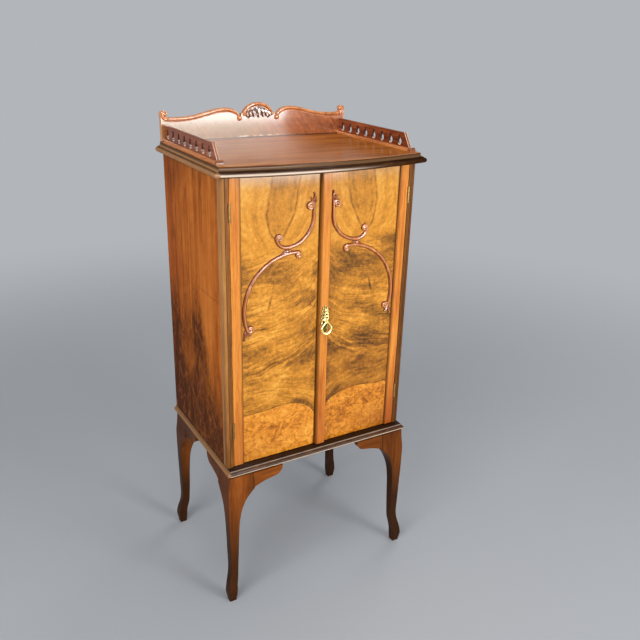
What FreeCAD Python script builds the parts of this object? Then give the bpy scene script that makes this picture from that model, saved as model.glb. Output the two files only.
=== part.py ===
import FreeCAD, Part
import math
import os

from FreeCAD import Vector

# A two-door music cabinet on cabriole legs, in millimetres.
# +Z is up, the doors face -Y, and the origin is on the floor under the middle of the top board.

# Body of the cabinet, between its base and its top
body_width = 474.0
body_depth = 342.0
body_height = 666.0

# Top board
top_overhang = 18.0
top_front_overhang = 15.0
top_bow = 30.0
top_thickness = 22.0
top_bead_radius = 5.5
top_quirk = 1.5
top_cove_radius = 6.5
top_nosing_radius = 1.5

# Base board
leg_height = 344.0
base_overhang = 7.0
base_front_overhang = 21.0
base_thickness = 18.0
base_bead_radius = 6.0
base_toe_height = 2.0
base_toe_step = 1.0
base_nosing_radius = 1.0

# Carcase
side_thickness = 16.0
stile_depth = 20.0
stile_bead_width = 7.0
stile_bead_radius = 5.0
stile_quirk_width = 1.6
stile_quirk_depth = 1.4
carcase_board_thickness = 14.0
back_board_thickness = 8.0
back_board_count = 4
back_board_chamfer = 1.0
stop_gap = 1.0

# Shelves
shelf_count = 4
shelf_thickness = 12.0
shelf_setback = 14.0
shelf_play = 0.5
bearer_width = 12.0
bearer_height = 14.0
bearer_setback = 12.0

# Legs: the square section swells at the knee, thins to the ankle and kicks out at the toe
leg_block_width = 66.0
leg_block_height = 41.0
leg_top_inset = 3.0
leg_knee_swell = 1.0
leg_knee_drop = 58.0
leg_ankle_height = 88.0
leg_ankle_width = 19.5
leg_ankle_inset = 1.5
leg_toe_height = 24.0
leg_toe_width = 22.5
leg_toe_kick = 9.0
leg_sole_width = 18.0
leg_sole_kick = 6.0
leg_arris = 1.0
leg_taper_share = 0.2
leg_taper_power = 6.5
leg_shaft_sections = 9
leg_toe_sections = 4
back_leg_margin = 0.5
dowel_radius = 8.0
dowel_in_leg = 18.0
dowel_in_base = 13.0

# Knee brackets
bracket_reach = 140.0
bracket_nose_length = 18.0
bracket_nose_drop = 24.0
bracket_bulge = 5.0
bracket_thickness = 20.0
bracket_inset = 2.5

# Doors
door_thickness = 20.0
door_clearance = 1.5
hinge_gap = 1.5
hinge_strip_width = 23.0
strip_rounding = 1.5
panel_recess = 3.5
panel_chamfer = 1.0
meeting_offset = -8.0
meeting_gap = 2.0
centre_strip_width = 23.0
centre_strip_proud = 4.5

# Applied scrolls on the door panels
scroll_half_width = 3.8
scroll_wall = 1.2
scroll_stem_x = 24.0
scroll_upper_radius = 64.0
scroll_upper_drop = 160.5
scroll_curl_radius = 26.0
scroll_curl_turn = 80.0
scroll_stem_rise = 15.0
scroll_lower_radius = 122.0
scroll_strip_gap = 7.0
scroll_lower_turn = 112.0
scroll_tail_turn = 19.0
scroll_ball_radius = 8.5
scroll_curl_ball_radius = 7.0
scroll_leaf_radius = 6.0
scroll_bud_radius = 4.4
scroll_tie_radius = 4.2
scroll_tie_gap = 0.2
carving_lap = 0.6
carving_height = 6.0

# Butt hinges
hinge_height = 38.0
hinge_leaf_width = 16.0
hinge_leaf_thickness = 1.4
hinge_barrel_radius = 2.6
hinge_pin_radius = 1.2
hinge_axis_proud = 1.0
hinge_from_top = 71.0
hinge_from_bottom = 93.0
hinge_knuckles = 5
hinge_screws_each = 3
pin_play = 0.05
knuckle_gap = 0.3
leaf_gap = 0.3
barrel_room = 0.4
seat_play = 0.05

# Lock and its strike
lock_rise = 307.0
lock_backset = 13.5
lock_length = 34.0
lock_height = 38.0
lock_depth = 11.0
lock_end_wall = 1.5
lock_bolt_length = 22.0
lock_bolt_thickness = 5.0
lock_bolt_height = 12.0
lock_bolt_travel = 8.0
lock_play = 0.3
keyhole_radius = 2.2
keyhole_slot_width = 2.4
keyhole_slot_drop = 6.5
strike_thickness = 1.2
strike_width = 9.0
strike_height = 34.0
mortice_spare = 2.0

# Flush bolts of the left door
bolt_radius = 3.0
bolt_length = 46.0
bolt_travel = 10.0
bolt_from_edge = 20.0
bolt_play = 0.08
bolt_knob_radius = 2.0
bolt_knob_rise = 8.0
bolt_knob_proud = 3.0
bolt_slot_play = 0.4
bolt_plate_width = 16.0
bolt_plate_thickness = 1.2
bolt_plate_margin = 8.0
keeper_play = 0.5
keeper_spare = 1.0
bolt_bore_spare = 2.0

# Handle: a shaped backplate, and a pear-shaped drop that hangs in its eye
handle_plate_thickness = 2.0
handle_plate_top = 55.0
handle_plate_bottom = 16.0
handle_plate_width = 18.0
handle_plate_width_rise = 18.0
handle_plate_shoulder = 13.0
handle_plate_shoulder_rise = 43.0
handle_eye_rise = 17.0
handle_eye_radius = 4.4
handle_eye_width = 3.0
handle_eye_reach = 8.0
drop_wire_radius = 1.7
drop_top_radius = 4.2
drop_bottom_radius = 12.4
drop_height = 33.0
drop_play = 0.6

# Gallery: back board with capping, arch and carved crest
gallery_board_thickness = 12.0
gallery_board_inset = 3.0
gallery_cap_height = 10.5
gallery_cap_overhang = 2.0
gallery_ear_inset = 12.0
gallery_ear_height = 65.0
gallery_ear_radius = 7.0
gallery_dip_from_ear = 38.0
gallery_dip_height = 54.0
gallery_hump_x = 85.0
gallery_hump_height = 72.0
gallery_volute_x = 49.5
gallery_volute_height = 52.5
gallery_volute_radius = 6.5
gallery_arch_half_width = 43.0
gallery_arch_spring = 58.0
gallery_arch_top = 83.0
gallery_arch_band = 10.0
gallery_crest_radius = 9.0
gallery_crest_drop = 3.0
gallery_crest_lobes = 3
gallery_crest_overlap = 0.82
gallery_crest_fall = 3.6
gallery_crest_shrink = 1.6

# Gallery: pierced frets on their base rails
fret_inset = 23.0
fret_thickness = 6.0
fret_height = 38.0
fret_front_setback = 25.0
fret_rake = 22.0
fret_rounding = 1.5
fret_hole_count = 8
fret_first_hole = 20.0
fret_last_hole = 17.5
fret_hole_radius = 8.0
fret_hole_height = 16.5
fret_slot_width = 8.0
fret_slot_top = 31.0
rail_width = 14.0
rail_height = 6.0
rail_rounding = 2.5
rail_foot_width = 16.0
rail_foot_length = 9.0
rail_foot_height = 8.0

# Screws
screw_radius = 1.2
screw_head_radius = 2.6
screw_length = 10.0
long_screw_radius = 1.8
long_screw_head_radius = 3.6
bearer_screw_length = 21.0
bearer_screw_inset = 40.0
top_screw_length = 27.0
top_screw_inset = 45.0
screw_play = 0.05
fit_play = 0.1

# Places worked out from the sizes above
top_width = body_width + 2 * top_overhang
top_side_depth = body_depth + top_front_overhang
base_width = body_width + 2 * base_overhang
base_depth = body_depth + base_front_overhang
back_y = (top_side_depth + top_bow) / 2
front_y = back_y - body_depth
base_bottom = leg_height
base_top = leg_height + base_thickness
body_top = base_top + body_height
top_surface = body_top + top_thickness
inner_x = body_width / 2 - side_thickness
stile_back_y = front_y + stile_depth
door_back_y = front_y + door_thickness
stop_y = door_back_y + stop_gap
back_face_y = back_y - back_board_thickness
door_bottom = base_top + door_clearance
door_top = body_top - door_clearance
hinge_edge = inner_x - hinge_gap
strip_inner_x = hinge_edge - hinge_strip_width
panel_y = front_y + panel_recess
panel_mid_y = (panel_y + door_back_y) / 2
left_edge_x = meeting_offset - meeting_gap / 2
right_edge_x = meeting_offset + meeting_gap / 2
centre_strip_inner_x = right_edge_x + centre_strip_width
handle_x = right_edge_x + lock_backset
centre_strip_y = front_y - centre_strip_proud
hinge_axis_x = inner_x - hinge_gap / 2
hinge_axis_y = front_y - hinge_axis_proud
lock_z = base_top + lock_rise
lock_bolt_y = door_back_y - lock_depth / 2
bolt_x = left_edge_x - bolt_from_edge
back_leg_y = back_y - leg_toe_kick - back_leg_margin
gallery_back_y = back_y - gallery_board_inset
gallery_face_y = gallery_back_y - gallery_board_thickness
gallery_ear_x = top_width / 2 - gallery_ear_inset
gallery_dip_x = gallery_ear_x - gallery_dip_from_ear
fret_x = top_width / 2 - fret_inset
fret_foot_y = back_y - top_side_depth + fret_front_setback + rail_foot_length
diagonal = math.sqrt(0.5)
up = Vector(0, 0, 1)


def box(x0, x1, y0, y1, z0, z1):
    return Part.makeBox(x1 - x0, y1 - y0, z1 - z0, Vector(x0, y0, z0))


def rod(radius, start, end):
    return Part.makeCylinder(radius, start.distanceToPoint(end), start, end - start)


def line(start, end):
    return Part.LineSegment(start, end).toShape()


def arc(start, middle, end):
    return Part.Arc(start, middle, end).toShape()


def prism(edges, direction):
    return Part.Face(Part.Wire(Part.__sortEdges__(edges))).extrude(direction)


def polygon_prism(points, direction):
    return Part.Face(Part.makePolygon(points + points[:1])).extrude(direction)


def mirrored(shape):
    """The same piece on the other side of the cabinet."""
    return shape.mirror(Vector(0, 0, 0), Vector(1, 0, 0))


def joined(pieces):
    first = pieces[0]
    return first.fuse(pieces[1:]).removeSplitter()


def save(node, *solids):
    shape = solids[0] if len(solids) == 1 else Part.makeCompound(list(solids))
    shape.exportStep("parts/" + node + ".step")


def save_pair(node, right_solids):
    """Writes a right-hand piece and its mirror image, NODE_right and NODE_left."""
    save(node + "_right", *right_solids)
    save(node + "_left", *[mirrored(solid) for solid in right_solids])


def screw(at, along, length, radius, head_radius):
    """A countersunk screw whose flat head lies at a point, driven along a direction."""
    head_height = head_radius - radius
    neck = at + along * head_height
    head = Part.makeCone(head_radius, radius, head_height, at, along)
    shank = Part.makeCylinder(radius, length - head_height, neck, along)
    return head.fuse(shank)


def screw_pair(at, along, length, radius, head_radius):
    """A screw and the slightly larger hole that it sits in."""
    hole_end = length + screw_play
    hole = screw(at, along, hole_end, radius + screw_play, head_radius + screw_play)
    return screw(at, along, length, radius, head_radius), hole


def dome(x, z, base_y, radius, height):
    """A low round boss that stands on a face and bulges towards -Y."""
    ball_radius = (radius ** 2 + height ** 2) / (2 * height)
    centre = Vector(x, base_y - height + ball_radius, z)
    rim_angle = math.degrees(math.asin((ball_radius - height) / ball_radius))
    return Part.makeSphere(ball_radius, centre, Vector(0, -1, 0), rim_angle, 90, 360)


def top_edge(place):
    """The top board's edge from its underside up: bead, quirk, cove and nosing."""
    bead = top_bead_radius
    bead_top = body_top + 2 * bead
    cove_low = bead_top + top_quirk
    cove_high = cove_low + top_cove_radius
    shoulder = bead + top_cove_radius
    cove_mid = top_cove_radius * diagonal
    nosing_low = top_surface - top_nosing_radius
    nosing_mid = top_nosing_radius * (1 - diagonal)
    return [
        arc(place(bead, body_top), place(0, body_top + bead), place(bead, bead_top)),
        line(place(bead, bead_top), place(bead, cove_low)),
        arc(
            place(bead, cove_low),
            place(bead + cove_mid, cove_high - cove_mid),
            place(shoulder, cove_high),
        ),
        line(place(shoulder, cove_high), place(shoulder, nosing_low)),
        arc(
            place(shoulder, nosing_low),
            place(shoulder + nosing_mid, top_surface - nosing_mid),
            place(shoulder + top_nosing_radius, top_surface),
        ),
    ]


def base_edge(place):
    """The base board's edge from its underside up: toe, bead, upright and nosing."""
    bead = base_bead_radius
    toe_inset = bead + base_toe_step
    toe_top = base_bottom + base_toe_height
    bead_top = toe_top + 2 * bead
    nosing_low = base_top - base_nosing_radius
    nosing_mid = base_nosing_radius * (1 - diagonal)
    return [
        line(place(toe_inset, base_bottom), place(toe_inset, toe_top)),
        line(place(toe_inset, toe_top), place(bead, toe_top)),
        arc(place(bead, toe_top), place(0, toe_top + bead), place(bead, bead_top)),
        line(place(bead, bead_top), place(bead, nosing_low)),
        arc(
            place(bead, nosing_low),
            place(bead + nosing_mid, base_top - nosing_mid),
            place(bead + base_nosing_radius, base_top),
        ),
    ]


def first_point(edges):
    return edges[0].firstVertex(True).Point


def last_point(edges):
    return edges[-1].lastVertex(True).Point


def two_sided_slab(edge, width, depth):
    """A slab as deep as the board, with the moulded edge along its left and right sides."""
    right = edge(lambda inset, z: Vector(width / 2 - inset, back_y, z))
    left = edge(lambda inset, z: Vector(inset - width / 2, back_y, z))
    caps = [
        line(first_point(left), first_point(right)),
        line(last_point(left), last_point(right)),
    ]
    return prism(right + left + caps, Vector(0, -depth, 0))


def top_blank():
    """The top board: moulded sides cut by a front edge that is turned about the bow's centre."""
    bow_radius = ((top_width / 2) ** 2 + top_bow ** 2) / (2 * top_bow)
    bow_y = back_y - top_side_depth - top_bow + bow_radius
    front = top_edge(lambda inset, z: Vector(0, bow_y - bow_radius + inset, z))
    low = Vector(0, bow_y, body_top)
    high = Vector(0, bow_y, top_surface)
    edges = front + [line(last_point(front), high), line(high, low), line(low, first_point(front))]
    face = Part.Face(Part.Wire(Part.__sortEdges__(edges)))
    half_turn = 2 * math.degrees(math.asin(top_width / 2 / bow_radius))
    face.rotate(low, up, -half_turn)
    turned = face.revolve(low, up, 2 * half_turn)
    return two_sided_slab(top_edge, top_width, top_side_depth + top_bow).common(turned)


def base_blank():
    """The base board: moulded sides cut by a straight moulded front edge."""
    half = base_width / 2
    front = base_edge(lambda inset, z: Vector(-half, back_y - base_depth + inset, z))
    low = Vector(-half, back_y, base_bottom)
    high = Vector(-half, back_y, base_top)
    edges = front + [line(last_point(front), high), line(high, low), line(low, first_point(front))]
    crossing = prism(edges, Vector(base_width, 0, 0))
    return two_sided_slab(base_edge, base_width, base_depth).common(crossing)


def smooth_step(share):
    return share * share * (3 - 2 * share)


def between(start, end, share):
    return start + (end - start) * smooth_step(share)


def leg_section(height):
    """How far the leg's outer arris stands out at a height, and the width of its square section."""
    block_low = leg_height - leg_block_height
    knee = leg_height - leg_knee_drop
    if height >= knee:
        swell = between(leg_knee_swell, -leg_top_inset, (height - knee) / leg_knee_drop)
    elif height >= leg_ankle_height:
        share = (height - leg_ankle_height) / (knee - leg_ankle_height)
        swell = between(-leg_ankle_inset, leg_knee_swell, share)
    elif height >= leg_toe_height:
        share = (height - leg_toe_height) / (leg_ankle_height - leg_toe_height)
        swell = between(leg_toe_kick, -leg_ankle_inset, share)
    else:
        swell = between(leg_sole_kick, leg_toe_kick, height / leg_toe_height)
    if height >= block_low:
        width = leg_block_width
    elif height >= leg_ankle_height:
        share = (height - leg_ankle_height) / (block_low - leg_ankle_height)
        taper = leg_taper_share * share + (1 - leg_taper_share) * share ** leg_taper_power
        width = leg_ankle_width + (leg_block_width - leg_ankle_width) * taper
    elif height >= leg_toe_height:
        share = (height - leg_toe_height) / (leg_ankle_height - leg_toe_height)
        width = between(leg_toe_width, leg_ankle_width, share)
    else:
        width = between(leg_sole_width, leg_toe_width, height / leg_toe_height)
    return swell, width


def leg_outline(height):
    """The leg's square section, arrises eased, with the cabinet's corner at the origin."""
    swell, width = leg_section(height)
    outer = swell
    inner = swell - width
    ease = leg_arris
    corners = [
        (outer - ease, -outer),
        (outer, ease - outer),
        (outer, -inner - ease),
        (outer - ease, -inner),
        (inner + ease, -inner),
        (inner, -inner - ease),
        (inner, ease - outer),
        (inner + ease, -outer),
    ]
    points = [Vector(x, y, height) for x, y in corners]
    return Part.makePolygon(points + points[:1])


def leg_blank():
    """A leg for the front right corner: a block that grows into the curved shaft and the toe."""
    block_low = leg_height - leg_block_height
    heights = [0.0, leg_toe_height / 2, leg_toe_height]
    for step in range(1, leg_toe_sections + 1):
        share = step / leg_toe_sections
        heights.append(leg_toe_height + (leg_ankle_height - leg_toe_height) * share)
    for step in range(1, leg_shaft_sections + 1):
        share = math.sin(math.pi / 2 * step / leg_shaft_sections)
        heights.append(leg_ankle_height + (block_low - leg_ankle_height) * share)
    shaft = Part.makeLoft([leg_outline(height) for height in heights], True, False)
    block_heights = [block_low, block_low + leg_block_height / 2, leg_height]
    block = Part.makeLoft([leg_outline(height) for height in block_heights], True, False)
    middle = leg_block_width / 2
    hole_low = Vector(-middle, middle, leg_height - dowel_in_leg - fit_play)
    hole = rod(dowel_radius + fit_play, hole_low, Vector(-middle, middle, leg_height))
    return joined([shaft, block]).cut(hole)


def bracket_blank(leg):
    """A knee bracket that runs along the front edge of the base, inwards from the leg's block."""
    root = -leg_block_width + leg_top_inset
    tip = -bracket_reach
    nose = tip + bracket_nose_length
    low = base_bottom - bracket_nose_drop
    root_low = base_bottom - leg_block_height
    nose_mid = Vector(
        (tip + nose) / 2 - bracket_bulge * diagonal,
        bracket_inset,
        (base_bottom + low) / 2 - bracket_bulge * diagonal,
    )
    sweep_mid = Vector((nose + root) / 2, bracket_inset, (low + root_low) / 2 + bracket_bulge / 2)
    corner = Vector(root, bracket_inset, base_bottom)
    point = Vector(tip, bracket_inset, base_bottom)
    belly = Vector(nose, bracket_inset, low)
    heel = Vector(root, bracket_inset, root_low)
    edges = [
        line(corner, point),
        arc(point, nose_mid, belly),
        arc(belly, sweep_mid, heel),
        line(heel, corner),
    ]
    return prism(edges, Vector(0, bracket_thickness, 0)).cut(leg)


def at_corner(shape, right, front):
    """A front right corner piece, moved to one of the base's four corners."""
    placed = shape.copy()
    if not front:
        placed = placed.mirror(Vector(0, 0, 0), Vector(0, 1, 0))
    corner_y = back_y - base_depth if front else back_leg_y
    placed.translate(Vector(base_width / 2, corner_y, 0))
    return placed if right else mirrored(placed)


def make_legs_and_base():
    """Legs, their brackets and dowels, and the base board that they carry."""
    leg = leg_blank()
    front_bracket = bracket_blank(leg)
    side_bracket = front_bracket.mirror(Vector(0, 0, 0), Vector(1, 1, 0))
    middle = Vector(-leg_block_width / 2, leg_block_width / 2, leg_height)
    low = middle - up * dowel_in_leg
    high = middle + up * dowel_in_base
    dowel = rod(dowel_radius, low, high)
    dowel_hole = rod(dowel_radius + fit_play, low, high + up * fit_play)
    keeper_top = Vector(bolt_x, panel_mid_y, base_top)
    keeper_low = keeper_top - up * (bolt_travel - door_clearance + keeper_spare)
    holes = [rod(bolt_radius + keeper_play, keeper_low, keeper_top)]
    dowels = []
    for right in (True, False):
        for front in (True, False):
            name = ("front" if front else "back") + ("_right" if right else "_left")
            save("leg_" + name, at_corner(leg, right, front))
            brackets = [at_corner(piece, right, front) for piece in (front_bracket, side_bracket)]
            save("knee_brackets_" + name, *brackets)
            dowels.append(at_corner(dowel, right, front))
            holes.append(at_corner(dowel_hole, right, front))
    save("leg_dowels", *dowels)
    save("base_board", base_blank().cut(holes))


def stile_blank():
    """The right front stile, with a quirked bead round its outer corner."""
    outer = body_width / 2
    low = base_top
    bead = stile_bead_width
    quirk = stile_quirk_width
    radius = stile_bead_radius
    eased = radius * (1 - diagonal)
    front_points = [
        Vector(outer - radius, front_y, low),
        Vector(outer - bead, front_y, low),
        Vector(outer - bead - quirk / 2, front_y + stile_quirk_depth, low),
        Vector(outer - bead - quirk, front_y, low),
        Vector(inner_x, front_y, low),
        Vector(inner_x, stile_back_y, low),
        Vector(outer, stile_back_y, low),
        Vector(outer, front_y + bead + quirk, low),
        Vector(outer - stile_quirk_depth, front_y + bead + quirk / 2, low),
        Vector(outer, front_y + bead, low),
        Vector(outer, front_y + radius, low),
    ]
    edges = [line(a, b) for a, b in zip(front_points, front_points[1:])]
    corner = Vector(outer - eased, front_y + eased, low)
    edges.append(arc(front_points[-1], corner, front_points[0]))
    return prism(edges, Vector(0, 0, body_height))


def make_hinge(z_middle):
    """A right-hand butt hinge: its two leaves, its pin, its screws and the cuts for them."""
    low = z_middle - hinge_height / 2
    high = z_middle + hinge_height / 2
    pitch = hinge_height / hinge_knuckles

    def barrel(radius, z0, z1):
        return rod(
            radius, Vector(hinge_axis_x, hinge_axis_y, z0), Vector(hinge_axis_x, hinge_axis_y, z1)
        )

    def leaf(side, grow):
        near = hinge_axis_x + side * leaf_gap / 2
        far = near + side * (hinge_leaf_thickness + grow)
        back = hinge_axis_y + hinge_leaf_width + grow
        return box(min(near, far), max(near, far), hinge_axis_y, back, low - grow, high + grow)

    leaves = [leaf(1, 0), leaf(-1, 0)]
    for knuckle in range(hinge_knuckles):
        z0 = low + knuckle * pitch
        own = knuckle % 2
        other = 1 - own
        clear = barrel(hinge_barrel_radius + leaf_gap, z0 - knuckle_gap / 2, z0 + pitch + knuckle_gap / 2)
        leaves[other] = leaves[other].cut(clear)
        ring = barrel(hinge_barrel_radius, z0 + knuckle_gap / 2, z0 + pitch - knuckle_gap / 2)
        leaves[own] = leaves[own].fuse(ring)
    bore = barrel(hinge_pin_radius + pin_play, low - knuckle_gap, high + knuckle_gap)
    screws = [[], []]
    cuts = [[], []]
    for own, side in enumerate((1, -1)):
        holes = []
        for place in range(hinge_screws_each):
            at = Vector(
                hinge_axis_x + side * leaf_gap / 2,
                hinge_axis_y + hinge_barrel_radius + (hinge_leaf_width - hinge_barrel_radius) / 2,
                low + hinge_height * (place + 0.5) / hinge_screws_each,
            )
            solid, hole = screw_pair(
                at, Vector(side, 0, 0), screw_length, screw_radius, screw_head_radius
            )
            screws[own].append(solid)
            holes.append(hole)
        leaves[own] = leaves[own].cut([bore] + holes).removeSplitter()
        notch = barrel(hinge_barrel_radius + barrel_room, low - barrel_room, high + barrel_room)
        cuts[own] = [leaf(side, seat_play), notch] + holes
    pin = barrel(hinge_pin_radius, low, high)
    return leaves, pin, screws, cuts


def make_carcase(hinge_cuts):
    """Sides, stiles, top and bottom boards, back boards, shelves and their bearers."""
    side = box(inner_x, body_width / 2, stile_back_y, back_y, base_top, body_top)
    inside_low = base_top + carcase_board_thickness
    inside_high = body_top - carcase_board_thickness
    room = (inside_high - inside_low - shelf_count * shelf_thickness) / (shelf_count + 1)
    shelf_front = stop_y + shelf_setback
    bearers = []
    bearer_screws = []
    screw_holes = []
    for number in range(1, shelf_count + 1):
        shelf_low = inside_low + number * room + (number - 1) * shelf_thickness
        shelf = box(
            shelf_play - inner_x,
            inner_x - shelf_play,
            shelf_front,
            back_face_y,
            shelf_low,
            shelf_low + shelf_thickness,
        )
        save("shelf_" + str(number), shelf)
        bearer_low = shelf_low - bearer_height
        bearer_front = shelf_front + bearer_setback
        bearer = box(
            inner_x - bearer_width, inner_x, bearer_front, back_face_y, bearer_low, shelf_low
        )
        holes = []
        for y in (bearer_front + bearer_screw_inset, back_face_y - bearer_screw_inset):
            at = Vector(inner_x - bearer_width, y, shelf_low - bearer_height / 2)
            solid, hole = screw_pair(
                at, Vector(1, 0, 0), bearer_screw_length, long_screw_radius, long_screw_head_radius
            )
            bearer_screws.append(solid)
            holes.append(hole)
        bearers.append(bearer.cut(holes))
        screw_holes += holes
    save_pair("shelf_bearers", bearers)
    save("bearer_screws", *bearer_screws, *[mirrored(solid) for solid in bearer_screws])
    save_pair("side_panel", [side.cut(screw_holes)])
    save_pair("front_stile", [stile_blank().cut(hinge_cuts)])
    save("carcase_bottom", box(-inner_x, inner_x, stop_y, back_face_y, base_top, inside_low))
    make_top(box(-inner_x, inner_x, stop_y, back_face_y, inside_high, body_top))
    board_width = 2 * inner_x / back_board_count
    boards = []
    for number in range(back_board_count):
        x0 = -inner_x + number * board_width
        x1 = x0 + board_width
        outline = [
            Vector(x0, back_face_y, base_top),
            Vector(x1, back_face_y, base_top),
            Vector(x1, back_y - back_board_chamfer, base_top),
            Vector(x1 - back_board_chamfer, back_y, base_top),
            Vector(x0 + back_board_chamfer, back_y, base_top),
            Vector(x0, back_y - back_board_chamfer, base_top),
        ]
        boards.append(polygon_prism(outline, Vector(0, 0, body_height)))
    save("back_boards", *boards)


def make_top(carcase_top):
    """The carcase's top board, the moulded top above it and the screws that hold them together."""
    inside_high = body_top - carcase_board_thickness
    keeper_low = Vector(bolt_x, panel_mid_y, body_top)
    keeper_high = keeper_low + up * (bolt_travel - door_clearance + keeper_spare)
    holes = []
    screws = []
    for x in (top_screw_inset - inner_x, 0, inner_x - top_screw_inset):
        for y in (stop_y + top_screw_inset, back_face_y - top_screw_inset):
            solid, hole = screw_pair(
                Vector(x, y, inside_high), up, top_screw_length, long_screw_radius, long_screw_head_radius
            )
            screws.append(solid)
            holes.append(hole)
    save("top_screws", *screws)
    save("carcase_top", carcase_top.cut(holes))
    keeper = rod(bolt_radius + keeper_play, keeper_low, keeper_high)
    save("top_board", top_blank().cut(holes + [keeper]))


def rounded_strip(x0, x1, face_y):
    """An upright strip of a door, with the two front edges rounded."""
    radius = strip_rounding
    eased = radius * (1 - diagonal)
    low = door_bottom
    left = Vector(x0, face_y + radius, low)
    left_front = Vector(x0 + radius, face_y, low)
    right_front = Vector(x1 - radius, face_y, low)
    right = Vector(x1, face_y + radius, low)
    edges = [
        arc(left, Vector(x0 + eased, face_y + eased, low), left_front),
        line(left_front, right_front),
        arc(right_front, Vector(x1 - eased, face_y + eased, low), right),
        line(right, Vector(x1, door_back_y, low)),
        line(Vector(x1, door_back_y, low), Vector(x0, door_back_y, low)),
        line(Vector(x0, door_back_y, low), left),
    ]
    return prism(edges, Vector(0, 0, door_top - door_bottom))


def door_panel(x0, x1):
    """A veneered panel whose upright edges are chamfered, so a dark quirk shows beside each strip."""
    low = door_bottom
    outline = [
        Vector(x0, door_back_y, low),
        Vector(x0, panel_y + panel_chamfer, low),
        Vector(x0 + panel_chamfer, panel_y, low),
        Vector(x1 - panel_chamfer, panel_y, low),
        Vector(x1, panel_y + panel_chamfer, low),
        Vector(x1, door_back_y, low),
    ]
    return polygon_prism(outline, Vector(0, 0, door_top - door_bottom))


def scroll_arc(centre_x, centre_z, radius, start, turn):
    """A half-round bead on the door panel, swept round a centre; angles in degrees from +X to +Z."""
    half = scroll_half_width
    crown = panel_y - scroll_wall
    near = centre_x + radius - half
    far = centre_x + radius + half
    edges = [
        line(Vector(near, panel_y, centre_z), Vector(near, crown, centre_z)),
        arc(
            Vector(near, crown, centre_z),
            Vector(centre_x + radius, crown - half, centre_z),
            Vector(far, crown, centre_z),
        ),
        line(Vector(far, crown, centre_z), Vector(far, panel_y, centre_z)),
        line(Vector(far, panel_y, centre_z), Vector(near, panel_y, centre_z)),
    ]
    face = Part.Face(Part.Wire(edges))
    centre = Vector(centre_x, panel_y, centre_z)
    face.rotate(centre, Vector(0, -1, 0), start)
    return face.revolve(centre, Vector(0, -1, 0), turn)


def carving(x, z, radius):
    return dome(x, z, panel_y, radius, carving_height)


def upper_scroll():
    """The right door's upper scroll: a stem that sweeps down and out, and curls up into a ball."""
    bow_x = scroll_stem_x + scroll_upper_radius
    low = body_top - scroll_upper_drop
    bow_z = low + scroll_upper_radius
    curl_z = low + scroll_curl_radius
    curl_end = math.radians(270 + scroll_curl_turn)
    curl_ball_x = bow_x + (scroll_curl_radius - scroll_half_width) * math.cos(curl_end)
    curl_ball_z = curl_z + (scroll_curl_radius - scroll_half_width) * math.sin(curl_end)
    stem_top = bow_z + scroll_stem_rise
    half = scroll_half_width
    stem = box(
        scroll_stem_x - half,
        scroll_stem_x + half,
        panel_y - scroll_wall - half / 2,
        panel_y,
        bow_z - half / 2,
        stem_top,
    )
    ball_x = scroll_stem_x - half + scroll_ball_radius
    ball_z = stem_top + half
    leaf_z = ball_z + scroll_ball_radius + scroll_leaf_radius * carving_lap
    bud_z = leaf_z + scroll_leaf_radius + scroll_bud_radius * carving_lap
    return joined(
        [
            scroll_arc(bow_x, bow_z, scroll_upper_radius, 180, 90),
            scroll_arc(bow_x, curl_z, scroll_curl_radius, 270, scroll_curl_turn),
            stem,
            carving(curl_ball_x, curl_ball_z, scroll_curl_ball_radius),
            carving(ball_x, ball_z, scroll_ball_radius),
            carving(scroll_stem_x, leaf_z, scroll_leaf_radius),
            carving(scroll_stem_x, bud_z, scroll_bud_radius),
        ]
    )


def lower_scroll():
    """The right door's lower scroll: a long bow tied to the upper one, with a ball at each end."""
    bow_x = strip_inner_x - scroll_strip_gap - scroll_lower_radius
    tie_x = scroll_stem_x + scroll_upper_radius
    upper_low = body_top - scroll_upper_drop - scroll_half_width
    tie_z = upper_low - scroll_tie_gap - scroll_tie_radius
    outer_radius = scroll_lower_radius + scroll_half_width
    bow_z = tie_z - scroll_tie_radius / 2 - math.sqrt(outer_radius ** 2 - (tie_x - bow_x) ** 2)
    start = math.radians(scroll_lower_turn - scroll_tail_turn)
    end = math.radians(-scroll_tail_turn)
    inside = scroll_lower_radius - scroll_half_width
    tail_x = bow_x + inside * math.cos(end)
    tail_z = bow_z + inside * math.sin(end)
    leaf_x = tail_x + scroll_half_width * (1 + carving_lap)
    bud_x = leaf_x + scroll_half_width / 2
    leaf_z = tail_z - scroll_curl_ball_radius - scroll_leaf_radius * carving_lap
    bud_z = leaf_z - scroll_leaf_radius - scroll_bud_radius * carving_lap
    return joined(
        [
            scroll_arc(bow_x, bow_z, scroll_lower_radius, -scroll_tail_turn, scroll_lower_turn),
            carving(tie_x, tie_z, scroll_tie_radius),
            carving(
                bow_x + inside * math.cos(start),
                bow_z + inside * math.sin(start),
                scroll_curl_ball_radius,
            ),
            carving(tail_x, tail_z, scroll_curl_ball_radius),
            carving(leaf_x, leaf_z, scroll_leaf_radius),
            carving(bud_x, bud_z, scroll_bud_radius),
        ]
    )


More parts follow.
